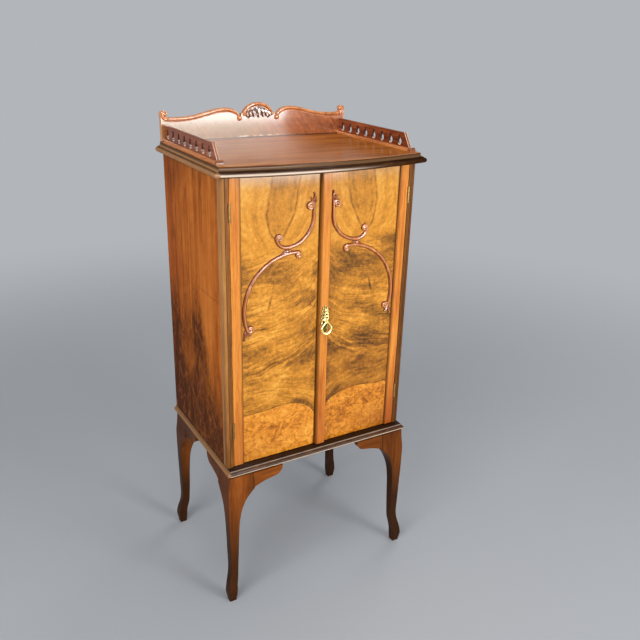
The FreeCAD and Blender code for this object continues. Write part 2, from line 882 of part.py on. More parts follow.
def flush_bolt(end_z, inwards):
    """A sliding bolt in the left door's edge, its plate, and the cuts that the door panel needs."""
    axis = Vector(bolt_x, panel_mid_y, end_z)
    along = up * inwards
    knob_at = axis + along * (bolt_length - bolt_knob_rise)
    knob_out = Vector(0, door_back_y + bolt_knob_proud - panel_mid_y, 0)
    bolt = rod(bolt_radius, axis, axis + along * bolt_length)
    bolt = bolt.fuse(rod(bolt_knob_radius, knob_at, knob_at + knob_out))
    bore_end = axis + along * (bolt_length + bolt_bore_spare)
    outside = axis - along * door_clearance
    bore = rod(bolt_radius + bolt_play, outside, bore_end)
    half_slot = bolt_knob_radius + bolt_slot_play
    knob_range = sorted([knob_at.z + inwards * half_slot, knob_at.z - inwards * (bolt_travel + half_slot)])
    slot = box(
        bolt_x - half_slot, bolt_x + half_slot, panel_mid_y, door_back_y, knob_range[0], knob_range[1]
    )

    def plate(grow):
        half = bolt_plate_width / 2 + grow
        reach = bolt_plate_margin + grow
        return box(
            bolt_x - half,
            bolt_x + half,
            door_back_y - bolt_plate_thickness - grow,
            door_back_y,
            knob_range[0] - reach,
            knob_range[1] + reach,
        )

    return bolt, plate(0).cut(slot), [bore, slot, plate(seat_play)]


def keyhole(y0, y1):
    """The keyhole as a solid: a round hole with a slot below it, from one depth to another."""
    round_hole = rod(keyhole_radius, Vector(handle_x, y0, lock_z), Vector(handle_x, y1, lock_z))
    half = keyhole_slot_width / 2
    slot = box(
        handle_x - half, handle_x + half, y0, y1, lock_z - keyhole_slot_drop, lock_z
    )
    return round_hole.fuse(slot)


def lock_box(grow):
    """The lock's case, let in flush with the right door's back and meeting edge."""
    half = lock_height / 2 + grow
    return box(
        right_edge_x,
        right_edge_x + lock_length + grow,
        door_back_y - lock_depth - grow,
        door_back_y,
        lock_z - half,
        lock_z + half,
    )


def bolt_bar(start_x, end_x, grow):
    """A bar with the lock bolt's section, larger by a clearance where it makes room for the bolt."""
    half_y = lock_bolt_thickness / 2 + grow
    half_z = lock_bolt_height / 2 + grow
    return box(
        start_x, end_x, lock_bolt_y - half_y, lock_bolt_y + half_y, lock_z - half_z, lock_z + half_z
    )


def make_left_door(hinge_cuts, leaves, screws):
    """The left door: panel, hinge strip, scrolls, hinge leaves, strike plate and flush bolts."""
    strip = mirrored(rounded_strip(strip_inner_x, hinge_edge, front_y).cut(hinge_cuts))
    save("left_door_hinge_strip", strip)
    mortice_depth = lock_bolt_travel - meeting_gap + mortice_spare
    mortice = bolt_bar(left_edge_x - mortice_depth, left_edge_x, lock_play)

    def strike(grow):
        half_y = strike_width / 2 + grow
        half_z = strike_height / 2 + grow
        return box(
            left_edge_x - strike_thickness - grow,
            left_edge_x,
            lock_bolt_y - half_y,
            lock_bolt_y + half_y,
            lock_z - half_z,
            lock_z + half_z,
        )

    save("strike_plate", strike(0).cut(mortice))
    top_bolt, top_plate, top_cuts = flush_bolt(door_top, -1)
    bottom_bolt, bottom_plate, bottom_cuts = flush_bolt(door_bottom, 1)
    save("top_bolt", top_bolt)
    save("bottom_bolt", bottom_bolt)
    save("bolt_plates", top_plate, bottom_plate)
    panel = door_panel(-strip_inner_x, left_edge_x)
    save("left_door_panel", panel.cut([mortice, strike(seat_play)] + top_cuts + bottom_cuts))
    save("left_door_upper_scroll", mirrored(upper_scroll()))
    save("left_door_lower_scroll", mirrored(lower_scroll()))
    save("left_door_hinge_leaves", *[mirrored(leaf) for leaf in leaves])
    save("left_door_hinge_screws", *[mirrored(solid) for solid in screws])


def make_right_door(hinge_cuts, leaves, screws):
    """The right door: panel, hinge strip, centre strip, scrolls, hinge leaves and lock."""
    save("right_door_hinge_strip", rounded_strip(strip_inner_x, hinge_edge, front_y).cut(hinge_cuts))
    pocket = lock_box(seat_play)
    case_front_y = door_back_y - lock_depth
    strip = rounded_strip(right_edge_x, centre_strip_inner_x, centre_strip_y)
    save("right_door_centre_strip", strip.cut([pocket, keyhole(centre_strip_y, case_front_y)]))
    save("right_door_panel", door_panel(centre_strip_inner_x, strip_inner_x).cut(pocket))
    channel = bolt_bar(right_edge_x, right_edge_x + lock_length - lock_end_wall, lock_play)
    save("lock_case", lock_box(0).cut([channel, keyhole(case_front_y, lock_bolt_y)]))
    save("lock_bolt", bolt_bar(right_edge_x, right_edge_x + lock_bolt_length, 0))
    save("right_door_upper_scroll", upper_scroll())
    save("right_door_lower_scroll", lower_scroll())
    save("right_door_hinge_leaves", *leaves)
    save("right_door_hinge_screws", *screws)


def tube_arc(centre, radius, start, turn):
    """A round wire bent about a centre in the plane of the drop, angles in degrees from +X to +Z."""
    middle = centre + Vector(radius, 0, 0)
    ring = Part.Wire(Part.Circle(middle, up, drop_wire_radius).toShape())
    face = Part.Face(ring)
    face.rotate(centre, Vector(0, -1, 0), start)
    return face.revolve(centre, Vector(0, -1, 0), turn)


def make_handle():
    """The handle's backplate with its eye and keyhole, and the drop that swings in the eye."""
    face_y = centre_strip_y
    plate_y = face_y - handle_plate_thickness
    top = lock_z + handle_plate_top
    bottom = lock_z - handle_plate_bottom
    shoulder_z = lock_z + handle_plate_shoulder_rise
    wide_z = lock_z + handle_plate_width_rise
    right_points = [
        Vector(handle_x, face_y, top),
        Vector(handle_x + handle_plate_shoulder / 2, face_y, shoulder_z),
        Vector(handle_x + handle_plate_width / 2, face_y, wide_z),
        Vector(handle_x, face_y, bottom),
    ]
    left_points = [Vector(2 * handle_x - p.x, p.y, p.z) for p in right_points]
    edges = []
    for points in (right_points, left_points):
        curve = Part.BSplineCurve()
        curve.interpolate(points)
        edges.append(curve.toShape())
    plate = prism(edges, Vector(0, -handle_plate_thickness, 0))
    eye_z = lock_z + handle_eye_rise
    eye_y = plate_y - handle_eye_reach
    half_eye = handle_eye_width / 2
    left_eye = Vector(handle_x - half_eye, eye_y, eye_z)
    right_eye = Vector(handle_x + half_eye, eye_y, eye_z)
    neck = box(
        left_eye.x,
        right_eye.x,
        eye_y,
        plate_y,
        eye_z - handle_eye_radius * diagonal,
        eye_z + handle_eye_radius * diagonal,
    )
    eye_hole = rod(drop_wire_radius + drop_play, left_eye, right_eye)
    eye = rod(handle_eye_radius, left_eye, right_eye).fuse(neck)
    whole = joined([plate, eye]).cut([eye_hole, keyhole(plate_y, face_y)])
    save("handle_backplate", whole)

    top_centre = Vector(handle_x, eye_y, eye_z - drop_top_radius)
    spread = drop_height - drop_top_radius - drop_bottom_radius - 2 * drop_wire_radius
    bottom_centre = top_centre - up * spread
    lean = math.asin((drop_bottom_radius - drop_top_radius) / spread)
    lean_degrees = math.degrees(lean)
    pieces = [
        tube_arc(top_centre, drop_top_radius, lean_degrees, 180 - 2 * lean_degrees),
        tube_arc(bottom_centre, drop_bottom_radius, 180 - lean_degrees, 180 + 2 * lean_degrees),
    ]
    for side in (1, -1):
        outwards = Vector(side * math.cos(lean), 0, math.sin(lean))
        start = top_centre + outwards * drop_top_radius
        end = bottom_centre + outwards * drop_bottom_radius
        pieces.append(rod(drop_wire_radius, start, end))
    save("handle_drop", joined(pieces))


def gallery_point(x, height, y):
    return Vector(x, y, top_surface + height)


def cap_curve(drop, y):
    """The right half of the gallery's wavy top line, lowered by a drop, from volute to ear."""
    stations = [
        [
            (gallery_volute_x, gallery_volute_height),
            (gallery_volute_x + gallery_volute_radius / 2, gallery_hump_height - gallery_cap_height / 2),
            (gallery_hump_x - 2 * gallery_volute_radius, gallery_hump_height),
            (gallery_hump_x, gallery_hump_height),
        ],
        [
            (gallery_hump_x, gallery_hump_height),
            ((2 * gallery_hump_x + gallery_dip_x) / 3, gallery_hump_height),
            ((gallery_hump_x + gallery_dip_x) / 2, gallery_dip_height),
            (gallery_dip_x, gallery_dip_height),
        ],
        [
            (gallery_dip_x, gallery_dip_height),
            ((gallery_dip_x + gallery_ear_x) / 2, gallery_dip_height),
            (gallery_ear_x - gallery_ear_radius, gallery_dip_height),
            (gallery_ear_x, gallery_ear_height),
        ],
    ]
    edges = []
    for poles in stations:
        curve = Part.BezierCurve()
        curve.setPoles([gallery_point(x, height - drop, y) for x, height in poles])
        edges.append(curve.toShape())
    return edges


def make_gallery_back():
    """The shaped back board of the gallery, its wavy capping, the centre arch and the carved crest."""
    cap_front = gallery_face_y - gallery_cap_overhang
    cap_back = gallery_back_y
    cap_depth = Vector(0, cap_front - cap_back, 0)
    upper = cap_curve(0, cap_back)
    lower = cap_curve(gallery_cap_height, cap_back)
    ends = [
        line(first_point(upper), first_point(lower)),
        line(last_point(upper), last_point(lower)),
    ]
    curl_x = gallery_ear_x - gallery_ear_radius
    volute = gallery_point(gallery_volute_x, gallery_volute_height - gallery_cap_height / 2, cap_back)
    ear = gallery_point(curl_x, gallery_ear_height, cap_back)
    cap = joined(
        [
            prism(upper + ends + lower, cap_depth),
            rod(gallery_volute_radius, volute, volute + cap_depth),
            rod(gallery_ear_radius, ear, ear + cap_depth),
        ]
    )
    save_pair("gallery_moulding", [cap])

    spring = gallery_arch_spring
    outer = gallery_arch_half_width
    inner = outer - gallery_arch_band
    under = gallery_arch_top - gallery_arch_band

    def arch_line(half, height, y):
        return arc(
            gallery_point(-half, spring, y), gallery_point(0, height, y), gallery_point(half, spring, y)
        )

    arch_edges = [arch_line(outer, gallery_arch_top, cap_back), arch_line(inner, under, cap_back)]
    for side in (1, -1):
        start = gallery_point(side * inner, spring, cap_back)
        end = gallery_point(side * outer, spring, cap_back)
        arch_edges.append(line(start, end))
    arch = prism(arch_edges, cap_depth)
    save("gallery_arch", arch)

    board_depth = Vector(0, -gallery_board_thickness, 0)
    right_edges = cap_curve(gallery_cap_height, gallery_back_y)
    left_edges = [mirrored(edge) for edge in right_edges]
    foot_right = gallery_point(gallery_ear_x, 0, gallery_back_y)
    foot_left = gallery_point(-gallery_ear_x, 0, gallery_back_y)
    outline = right_edges + left_edges + [line(foot_left, foot_right)]
    volute_low = gallery_volute_height - gallery_cap_height
    ear_low = gallery_ear_height - gallery_cap_height
    for side in (1, -1):
        low = gallery_point(side * gallery_volute_x, volute_low, gallery_back_y)
        shoulder = gallery_point(side * outer, spring, gallery_back_y)
        springing = gallery_point(side * inner, spring, gallery_back_y)
        corner = gallery_point(side * gallery_ear_x, ear_low, gallery_back_y)
        foot = foot_right if side > 0 else foot_left
        outline += [line(low, shoulder), line(shoulder, springing), line(corner, foot)]
    outline.append(arch_line(inner, under, gallery_back_y))
    board = prism(outline, board_depth)
    save("gallery_back_board", board.cut([cap, mirrored(cap), arch]))

    radius = gallery_crest_radius
    x = 0.0
    z = top_surface + spring + gallery_crest_drop
    crest = [dome(x, z, gallery_face_y, radius, carving_height)]
    for lobe in range(gallery_crest_lobes):
        x += gallery_crest_overlap * (2 * radius - gallery_crest_shrink)
        z -= gallery_crest_fall
        radius -= gallery_crest_shrink
        crest.append(dome(x, z, gallery_face_y, radius, carving_height))
        crest.append(dome(-x, z, gallery_face_y, radius, carving_height))
    save("gallery_crest", joined(crest))


def round_topped_bar(width, low, high, radius, length):
    """A bar on the gallery's right side, run forwards from the back board, its top edges rounded."""
    near = fret_x - width / 2
    far = fret_x + width / 2
    eased = radius * (1 - diagonal)

    def place(x, z):
        return Vector(x, gallery_face_y, z)

    near_side = place(near, high - radius)
    near_top = place(near + radius, high)
    far_top = place(far - radius, high)
    far_side = place(far, high - radius)
    edges = [
        line(place(near, low), near_side),
        arc(near_side, place(near + eased, high - eased), near_top),
        line(near_top, far_top),
        arc(far_top, place(far - eased, high - eased), far_side),
        line(far_side, place(far, low)),
        line(place(far, low), place(near, low)),
    ]
    return prism(edges, Vector(0, -length, 0))


def make_gallery_sides():
    """The pierced side frets, raked at the front, on their rounded base rails."""
    rail_top = top_surface + rail_height
    top = top_surface + fret_height
    length = gallery_face_y - fret_foot_y
    top_y = fret_foot_y + fret_rake
    first_y = gallery_face_y - fret_first_hole
    pitch = (first_y - top_y - fret_last_hole) / (fret_hole_count - 1)
    x0 = fret_x - fret_thickness / 2
    across = Vector(fret_thickness, 0, 0)
    rake = [Vector(x0, fret_foot_y, rail_top), Vector(x0, top_y, top), Vector(x0, fret_foot_y, top)]
    cuts = [polygon_prism(rake, across)]
    half_slot = fret_slot_width / 2
    low = top_surface + fret_hole_height
    slot_top = top_surface + fret_slot_top - half_slot
    for number in range(fret_hole_count):
        y = first_y - number * pitch
        eye = Vector(x0, y, low)
        tip = Vector(x0, y, slot_top)
        cuts.append(rod(fret_hole_radius, eye, eye + across))
        cuts.append(rod(half_slot, tip, tip + across))
        cuts.append(box(x0, x0 + fret_thickness, y - half_slot, y + half_slot, low, slot_top))
    fret = round_topped_bar(fret_thickness, rail_top, top, fret_rounding, length)
    save_pair("gallery_fret", [fret.cut(cuts)])

    rail = round_topped_bar(rail_width, top_surface, rail_top, rail_rounding, length)
    left = fret_x - rail_foot_width / 2
    front = fret_foot_y - rail_foot_length
    foot_top = top_surface + rail_foot_height
    turn_y = front + rail_foot_height
    turn = rail_foot_height * diagonal
    corner = Vector(left, fret_foot_y, top_surface)
    back_top = Vector(left, fret_foot_y, foot_top)
    front_top = Vector(left, turn_y, foot_top)
    nose = Vector(left, front, top_surface)
    foot_edges = [
        line(corner, back_top),
        line(back_top, front_top),
        arc(front_top, Vector(left, turn_y - turn, top_surface + turn), nose),
        line(nose, corner),
    ]
    foot = prism(foot_edges, Vector(rail_foot_width, 0, 0))
    save_pair("gallery_rail", [joined([rail, foot])])


def main():
    os.makedirs("parts", exist_ok=True)
    hinges = [make_hinge(door_top - hinge_from_top), make_hinge(door_bottom + hinge_from_bottom)]
    carcase_leaves = [leaves[0] for leaves, pin, screws, cuts in hinges]
    door_leaves = [leaves[1] for leaves, pin, screws, cuts in hinges]
    pins = [pin for leaves, pin, screws, cuts in hinges]
    carcase_screws = [solid for leaves, pin, screws, cuts in hinges for solid in screws[0]]
    door_screws = [solid for leaves, pin, screws, cuts in hinges for solid in screws[1]]
    stile_cuts = [cut for leaves, pin, screws, cuts in hinges for cut in cuts[0]]
    strip_cuts = [cut for leaves, pin, screws, cuts in hinges for cut in cuts[1]]
    make_legs_and_base()
    make_carcase(stile_cuts)
    save_pair("hinge_leaves_carcase", carcase_leaves)
    save("hinge_pins", *pins, *[mirrored(pin) for pin in pins])
    save("hinge_screws_carcase", *carcase_screws, *[mirrored(solid) for solid in carcase_screws])
    make_left_door(strip_cuts, door_leaves, door_screws)
    make_right_door(strip_cuts, door_leaves, door_screws)
    make_handle()
    make_gallery_back()
    make_gallery_sides()


main()
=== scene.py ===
import math

import bmesh
import bpy
import numpy as np
from mathutils import Matrix, Vector


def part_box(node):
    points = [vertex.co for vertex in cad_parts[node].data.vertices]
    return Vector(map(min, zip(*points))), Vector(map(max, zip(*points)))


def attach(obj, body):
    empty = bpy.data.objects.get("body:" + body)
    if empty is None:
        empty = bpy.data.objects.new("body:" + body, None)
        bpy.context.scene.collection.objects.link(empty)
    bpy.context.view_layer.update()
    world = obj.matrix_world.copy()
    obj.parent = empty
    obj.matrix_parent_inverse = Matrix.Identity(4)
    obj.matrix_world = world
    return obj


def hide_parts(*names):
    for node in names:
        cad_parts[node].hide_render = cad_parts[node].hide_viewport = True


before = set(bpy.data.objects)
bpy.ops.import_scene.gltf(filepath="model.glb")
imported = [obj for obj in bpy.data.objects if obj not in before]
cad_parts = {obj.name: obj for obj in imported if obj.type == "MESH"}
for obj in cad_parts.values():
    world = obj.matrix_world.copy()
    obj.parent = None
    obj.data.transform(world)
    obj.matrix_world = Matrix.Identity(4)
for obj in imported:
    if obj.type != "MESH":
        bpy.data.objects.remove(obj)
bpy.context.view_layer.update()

bl_info = {
    "name": "Music cabinet",
    "version": (1, 0, 0),
    "blender": (4, 5, 0),
    "location": "3D View > Sidebar > Cabinet",
    "description": "Carving, polished woods, brasswork and studio for a two-door music cabinet",
    "category": "Object",
}

MM = 0.001

# Places read from the frame, in millimetres
PANEL_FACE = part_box("left_door_panel")[0].y / MM
STRIP_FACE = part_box("right_door_centre_strip")[0].y / MM
GALLERY_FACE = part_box("gallery_back_board")[0].y / MM
TOP_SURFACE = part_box("top_board")[1].z / MM
HINGE_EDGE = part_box("right_door_hinge_strip")[0].x / MM
LEFT_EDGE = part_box("left_door_panel")[1].x / MM
STRIP_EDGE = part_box("right_door_centre_strip")[1].x / MM
BOOK_MATCH = (LEFT_EDGE + STRIP_EDGE) / 2

# Habits of all the woods: the levels of noise at which a pore opens, and the grain's stretch, depth and tone
PORE = (0.58, 0.72)
GRAIN_STRETCH = 18
GRAIN_DEPTH = -0.2
GRAIN_TONE = 0.4

# The two sides, and the sign of their places across
SIDES = {"left": -1, "right": 1}

# Colours as seen on a screen: three tones of each wood and metal, and single tints
TONES = ("dark", "middle", "light")
WOODS = {
    "burr": ("burr at the foot of the doors", (146, 74, 10), (226, 140, 36), (254, 182, 74)),
    "strip": ("straight strips of the doors", (170, 78, 14), (228, 141, 50), (250, 168, 76)),
    "side": ("side panels", (62, 32, 14), (190, 102, 34), (226, 136, 58)),
    "stile": ("front stiles", (88, 50, 12), (152, 94, 40), (204, 146, 84)),
    "case": ("moulded edges", (34, 18, 8), (66, 40, 22), (112, 72, 42)),
    "top": ("top board", (116, 56, 16), (171, 97, 34), (199, 126, 52)),
    "leg": ("legs and brackets", (44, 24, 10), (132, 68, 21), (180, 102, 40)),
    "gallery": ("gallery's back board", (112, 56, 26), (176, 98, 48), (222, 140, 78)),
    "carved": ("door scrolls", (46, 18, 8), (166, 78, 20), (248, 178, 112)),
    "cap": ("gallery's capping and rails", (78, 30, 10), (212, 130, 70), (244, 180, 122)),
    "crest": ("crest", (40, 18, 8), (126, 74, 46), (224, 188, 158)),
    "fret": ("pierced gallery sides", (62, 26, 14), (136, 66, 34), (190, 108, 62)),
    "inside": ("plain inside wood", (118, 70, 38), (166, 108, 64), (196, 142, 92)),
    "brass": ("handle", (54, 42, 14), (206, 176, 92), (250, 232, 160)),
    "hinge": ("hinges, lock and bolts", (44, 32, 16), (112, 84, 42), (168, 136, 78)),
}
TINTS = {
    "veneer_dark": ("Darkest streaks of the door veneer", (82, 50, 6)),
    "veneer_brown": ("Brown clouds of the door veneer", (156, 99, 24)),
    "veneer_gold": ("Ground of the door veneer", (219, 144, 40)),
    "veneer_light": ("Lightest flashes of the door veneer", (252, 186, 80)),
    "side_red": ("Redder wood towards the back of the sides", (160, 68, 22)),
    "side_pink": ("Pinkish strokes in the heartwood of the sides", (168, 96, 64)),
    "steel_dark": ("Tarnish on the steel", (70, 66, 62)),
    "steel_light": ("Bright steel", (168, 166, 162)),
    "faded": ("Faded left end of the gallery board", (140, 114, 54)),
    "nose": ("Dark line along the nose of the top board", (74, 50, 34)),
    "cove": ("Dulled cove under the nose of the top board", (108, 80, 54)),
    # Painted light: this pale tint goes on the left flanks of the top and base mouldings, where the lamp
    # falls on them
    "tan": ("Worn flanks of the mouldings", (190, 138, 92)),
    # Painted highlights and sheen on the mouldings, fret keyholes and door tops use this tint, as do the pale
    # chips along the gallery board's foot
    "shine": ("Bright rubbed lines of the mouldings, frets and doors", (238, 212, 186)),
    "studio": ("Floor and backdrop of the studio", (178, 181, 185)),
}


def srgb(red, green, blue):
    """A colour as seen on a screen, 0 to 255 each, as the linear value that a colour property holds."""
    levels = [value / 255 for value in (red, green, blue)]
    return tuple(s / 12.92 if s <= 0.04045 else ((s + 0.055) / 1.055) ** 2.4 for s in levels)


def colour(name, description, rgb):
    label = name.replace("_", " ").capitalize()
    return bpy.props.FloatVectorProperty(
        name=label, description=description, subtype="COLOR", size=3, min=0, max=1, default=srgb(*rgb)
    )


def size(name, description, millimetres):
    return bpy.props.FloatProperty(
        name=name, description=description, default=millimetres * MM, min=0, unit="LENGTH", subtype="DISTANCE"
    )


class CabinetSizes(bpy.types.PropertyGroup):
    scroll_half_width: size("Scroll half width", "Half the width of the carved scrolls' bead", 4.6)
    scroll_height: size("Scroll height", "How far the scrolls' bead stands off the door panel", 5.6)
    curl_radius: size("Curl radius", "Radius at which a scroll's end starts to curl in", 7)
    carving_grain: size("Carving grain", "Smallest detail kept in the carved wood", 0.55)
    casting_grain: size("Casting grain", "Smallest detail kept in the cast brass", 0.32)
    edge_wear: size("Edge wear", "Width of the rubbed line along the edges of strips and rails", 1.6)
    # Painted shadow: the dark line beside the door strips stands for their shadow on the panels
    strip_shadow_line: size("Veneer line", "Width of the dark line beside the door strips", 4)
    floor_reach: size("Floor reach", "How far the studio floor runs from the cabinet", 14000)


def every_colour():
    """A colour property for each tint, and for each tone of each wood and metal."""
    made = {name: colour(name, about, rgb) for name, (about, rgb) in TINTS.items()}
    for group, (where, *trio) in WOODS.items():
        for tone, rgb in zip(TONES, trio):
            name = group + "_" + tone
            made[name] = colour(name, tone.capitalize() + " tone of the " + where, rgb)
    return made


class CabinetColours(bpy.types.PropertyGroup):
    __annotations__ = every_colour()


def both_ways(operation):
    """The operator that a Math node stands for, and its reflected form."""

    def forward(self, other):
        return self.math(operation, self, other)

    def reflected(self, other):
        return self.math(operation, other, self)

    return forward, reflected


class Shade:
    """A node socket in a finish. Arithmetic on it adds Math nodes."""

    def __init__(self, finish, socket):
        self.finish = finish
        self.socket = socket

    def math(self, operation, *terms):
        return self.finish.node("ShaderNodeMath", {"operation": operation}, dict(enumerate(terms)))

    __add__, __radd__ = both_ways("ADD")
    __sub__, __rsub__ = both_ways("SUBTRACT")
    __mul__, __rmul__ = both_ways("MULTIPLY")
    __truediv__, __rtruediv__ = both_ways("DIVIDE")

    def __neg__(self):
        return self.math("MULTIPLY", self, -1)

    def __abs__(self):
        return self.math("ABSOLUTE", self)

    def sqrt(self):
        return self.math("SQRT", self)

    def least(self, other):
        return self.math("MINIMUM", self, other)

    def most(self, other):
        return self.math("MAXIMUM", self, other)

    def fade(self, reach):
        """1 at 0, and falling away over about that reach."""
        return self.math("EXPONENT", self / -reach)

    def bell(self, centre=0, reach=1):
        """1 at the centre, and falling away to both sides over that reach."""
        away = (self - centre) / reach
        return self.math("EXPONENT", -(away * away))

    def step(self, low, high):
        """0 at low and 1 at high, eased between; low may be the larger."""
        return self.finish.node(
            "ShaderNodeMapRange",
            {"interpolation_type": "SMOOTHSTEP"},
            {"Value": self, "From Min": low, "From Max": high},
        )


def vary(level, *parts):
    """A level that moves up and down with each noise, by its weight, about the noise's middle."""
    for noise, weight in parts:
        level = level + (noise - 0.5) * weight
    return level


class Nodes:
    """A node tree that is written as Python expressions."""

    def __init__(self, tree):
        self.tree = tree

    def node(self, kind, settings, sockets, output=0):
        """Adds a node: its settings are set first, then its sockets get values or links."""
        made = self.tree.nodes.new(kind)
        for name, value in settings.items():
            if name == "stops":
                ramp = made.color_ramp
                while len(ramp.elements) < len(value):
                    ramp.elements.new(1)
                for element, (position, rgb) in zip(ramp.elements, value):
                    element.position = position
                    element.color = (*rgb, 1)
            else:
                setattr(made, name, value)
        for key, value in sockets.items():
            if isinstance(value, Shade):
                self.tree.links.new(value.socket, made.inputs[key])
            else:
                made.inputs[key].default_value = value
        return Shade(self, made.outputs[output])

    def seen(self):
        """1 for rays from the camera, from a mirror or through glass, and 0 for the rest."""
        kinds = ("Is Camera Ray", "Is Glossy Ray", "Is Transmission Ray")
        straight, mirrored, through = (self.node("ShaderNodeLightPath", {}, {}, kind) for kind in kinds)
        return (straight + mirrored + through).least(1)


class Finish(Nodes):
    """A material whose shader is written as Python expressions on places in millimetres."""

    def __init__(self, name, coat=0.5, coat_roughness=0.08, metallic=0, specular=0.1, coat_ior=1.5):
        self.material = bpy.data.materials.new(name)
        self.material.use_nodes = True
        super().__init__(self.material.node_tree)
        self.shader = self.tree.nodes["Principled BSDF"]
        constants = {
            "Coat Weight": coat,
            "Coat Roughness": coat_roughness,
            "Coat IOR": coat_ior,
            "Metallic": metallic,
            "Specular IOR Level": 0.5 if metallic else specular,
        }
        for key, value in constants.items():
            self.shader.inputs[key].default_value = value
        place = self.node("ShaderNodeTexCoord", {}, {}, "Object")
        self.point = self.vector("SCALE", place, Scale=1 / MM)
        split = self.node("ShaderNodeSeparateXYZ", {}, {0: self.point}).socket.node
        self.x, self.y, self.z = (Shade(self, output) for output in split.outputs)

    def vector(self, operation, first, second=None, **named):
        sockets = {0: first, **named}
        if second is not None:
            sockets[1] = second
        return self.node("ShaderNodeVectorMath", {"operation": operation}, sockets)

    def combine(self, x, y, z):
        return self.node("ShaderNodeCombineXYZ", {}, {"X": x, "Y": y, "Z": z})

    def noise(self, spans, detail=2, roughness=0.5, distortion=0, at=None):
        """Noise with features about as long as the spans, in millimetres; one number is for all three."""
        if not isinstance(spans, tuple):
            spans = (spans, spans, spans)
        sockets = {"Vector": self.vector("DIVIDE", at or self.point, spans), "Scale": 1, "Detail": detail}
        sockets.update({"Roughness": roughness, "Distortion": distortion})
        return self.node("ShaderNodeTexNoise", {}, sockets, "Fac")

    def cells(self, point, span):
        """Distance to the middle of the nearest cell, 0 to about 1, for cells of that span."""
        stretched = self.vector("DIVIDE", point, (span, span, span))
        sockets = {"Vector": stretched, "Scale": 1, "Smoothness": 0.6}
        return self.node("ShaderNodeTexVoronoi", {"feature": "SMOOTH_F1"}, sockets, "Distance")

    def ramp(self, value, *stops):
        return self.node("ShaderNodeValToRGB", {"stops": stops}, {"Fac": value})

    def stain(self, tone, group, reach=0.4):
        """Dark, middle and light colours of a wood by tone, the middle one at a half."""
        return self.ramp(tone, *zip((0.5 - reach, 0.5, 0.5 + reach), shades(group)))

    def mix(self, factor, first, second):
        rgba = [c if isinstance(c, Shade) else (*c, 1) for c in (first, second)]
        return self.node("ShaderNodeMix", {"data_type": "RGBA"}, {0: factor, 6: rgba[0], 7: rgba[1]}, 2)

    def attribute(self, name):
        return self.node("ShaderNodeAttribute", {"attribute_name": name}, {}, "Fac")

    def blob(self, first, second, centre, reach):
        """A soft spot, 1 at its centre, in any two coordinates."""
        a = (first - centre[0]) / reach[0]
        b = (second - centre[1]) / reach[1]
        return a.math("EXPONENT", -(a * a + b * b))

    def edges(self, node, width):
        """1 along the arrises of a boxy node and 0 from that width inwards, broken up as wear is."""
        gaps = []
        for place, lowest, highest in zip((self.x, self.y, self.z), *extent(node)):
            gaps.append((place - lowest).least(highest - place))
        a, b, c = gaps
        second_nearest = a.least(b).most(a.most(b).least(c))
        return vary(second_nearest, (self.noise(9, 3), width * 2)).step(width, 0)

    def grain(self, along, width):
        """Tone and pores of straight wood: grain runs along one axis, its bands about so wide."""
        tall = [1, 1, 1]
        tall["XYZ".index(along)] = GRAIN_STRETCH

        def spans(across):
            return tuple(across * stretch for stretch in tall)

        bands = self.noise(spans(width), 3, 0.55, 0.5)
        ribbons = self.noise(spans(width / 5), 3, 0.6)
        pores = self.noise(spans(width / 30), 1)
        return vary(0.5, (bands, 1.3), (ribbons, 0.9)), pores.step(*PORE)

    def plain(self, width):
        """The unpolished wood of a board's hidden face."""
        return self.stain(self.grain("Z", width)[0], "inside", 0.35)

    def paint(self, base, roughness, height=None, bump=0.12, depth=GRAIN_DEPTH, coat=None):
        """Feeds the shader; height, where there is any, is bumped by so many millimetres."""
        sockets = {"Base Color": base, "Roughness": roughness}
        if coat is not None:
            sockets["Coat Weight"] = coat
        if height is not None:
            sockets["Normal"] = self.node(
                "ShaderNodeBump", {}, {"Strength": bump, "Distance": depth * MM, "Height": height}
            )
        for key, value in sockets.items():
            self.tree.links.new(value.socket, self.shader.inputs[key])
        return self.material


def sizes():
    return bpy.context.scene.cabinet_sizes


def tint(name):
    return tuple(getattr(bpy.context.scene.cabinet_colours, name))


def shades(group):
    """The dark, middle and light colours of a wood."""
    return [tint(group + "_" + tone) for tone in TONES]


def extent(node):
    """The lowest and the highest corner of a CAD node, in millimetres."""
    return [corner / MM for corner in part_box(node)]


def dress(material, *names):
    """Gives CAD nodes a finish, each in place of the plain one that it came with."""
    for name in names:
        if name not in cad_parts:
            raise RuntimeError("the frame has no piece named " + name)
        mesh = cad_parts[name].data
        mesh.materials.clear()
        mesh.materials.append(material)


def wood(
    name, group, along, width=26, contrast=1, coat=0.5, roughness=0.38, worn=None, alter=None, specular=0.1
):
    """A polished straight-grained wood. worn names a boxy node whose edges are rubbed light."""
    dark, light = tint(group + "_dark"), tint(group + "_light")
    f = Finish(name, coat, specular=specular)
    tone, pores = f.grain(along, width)
    tone = vary(0.5, (tone, contrast))
    base = f.stain(tone, group, 0.38)
    patches = f.noise(120, 2)
    base = f.mix((patches - 0.45) * 0.7, base, dark)
    base = f.mix(pores * 0.35, base, dark)
    if worn:
        base = f.mix(f.edges(worn, sizes().edge_wear / MM) * 0.55, base, light)
    if alter:
        base = alter(f, base)
    gloss = vary(roughness, (patches, 0.14)) + pores * 0.1
    return f.paint(base, gloss, pores + tone * GRAIN_TONE)


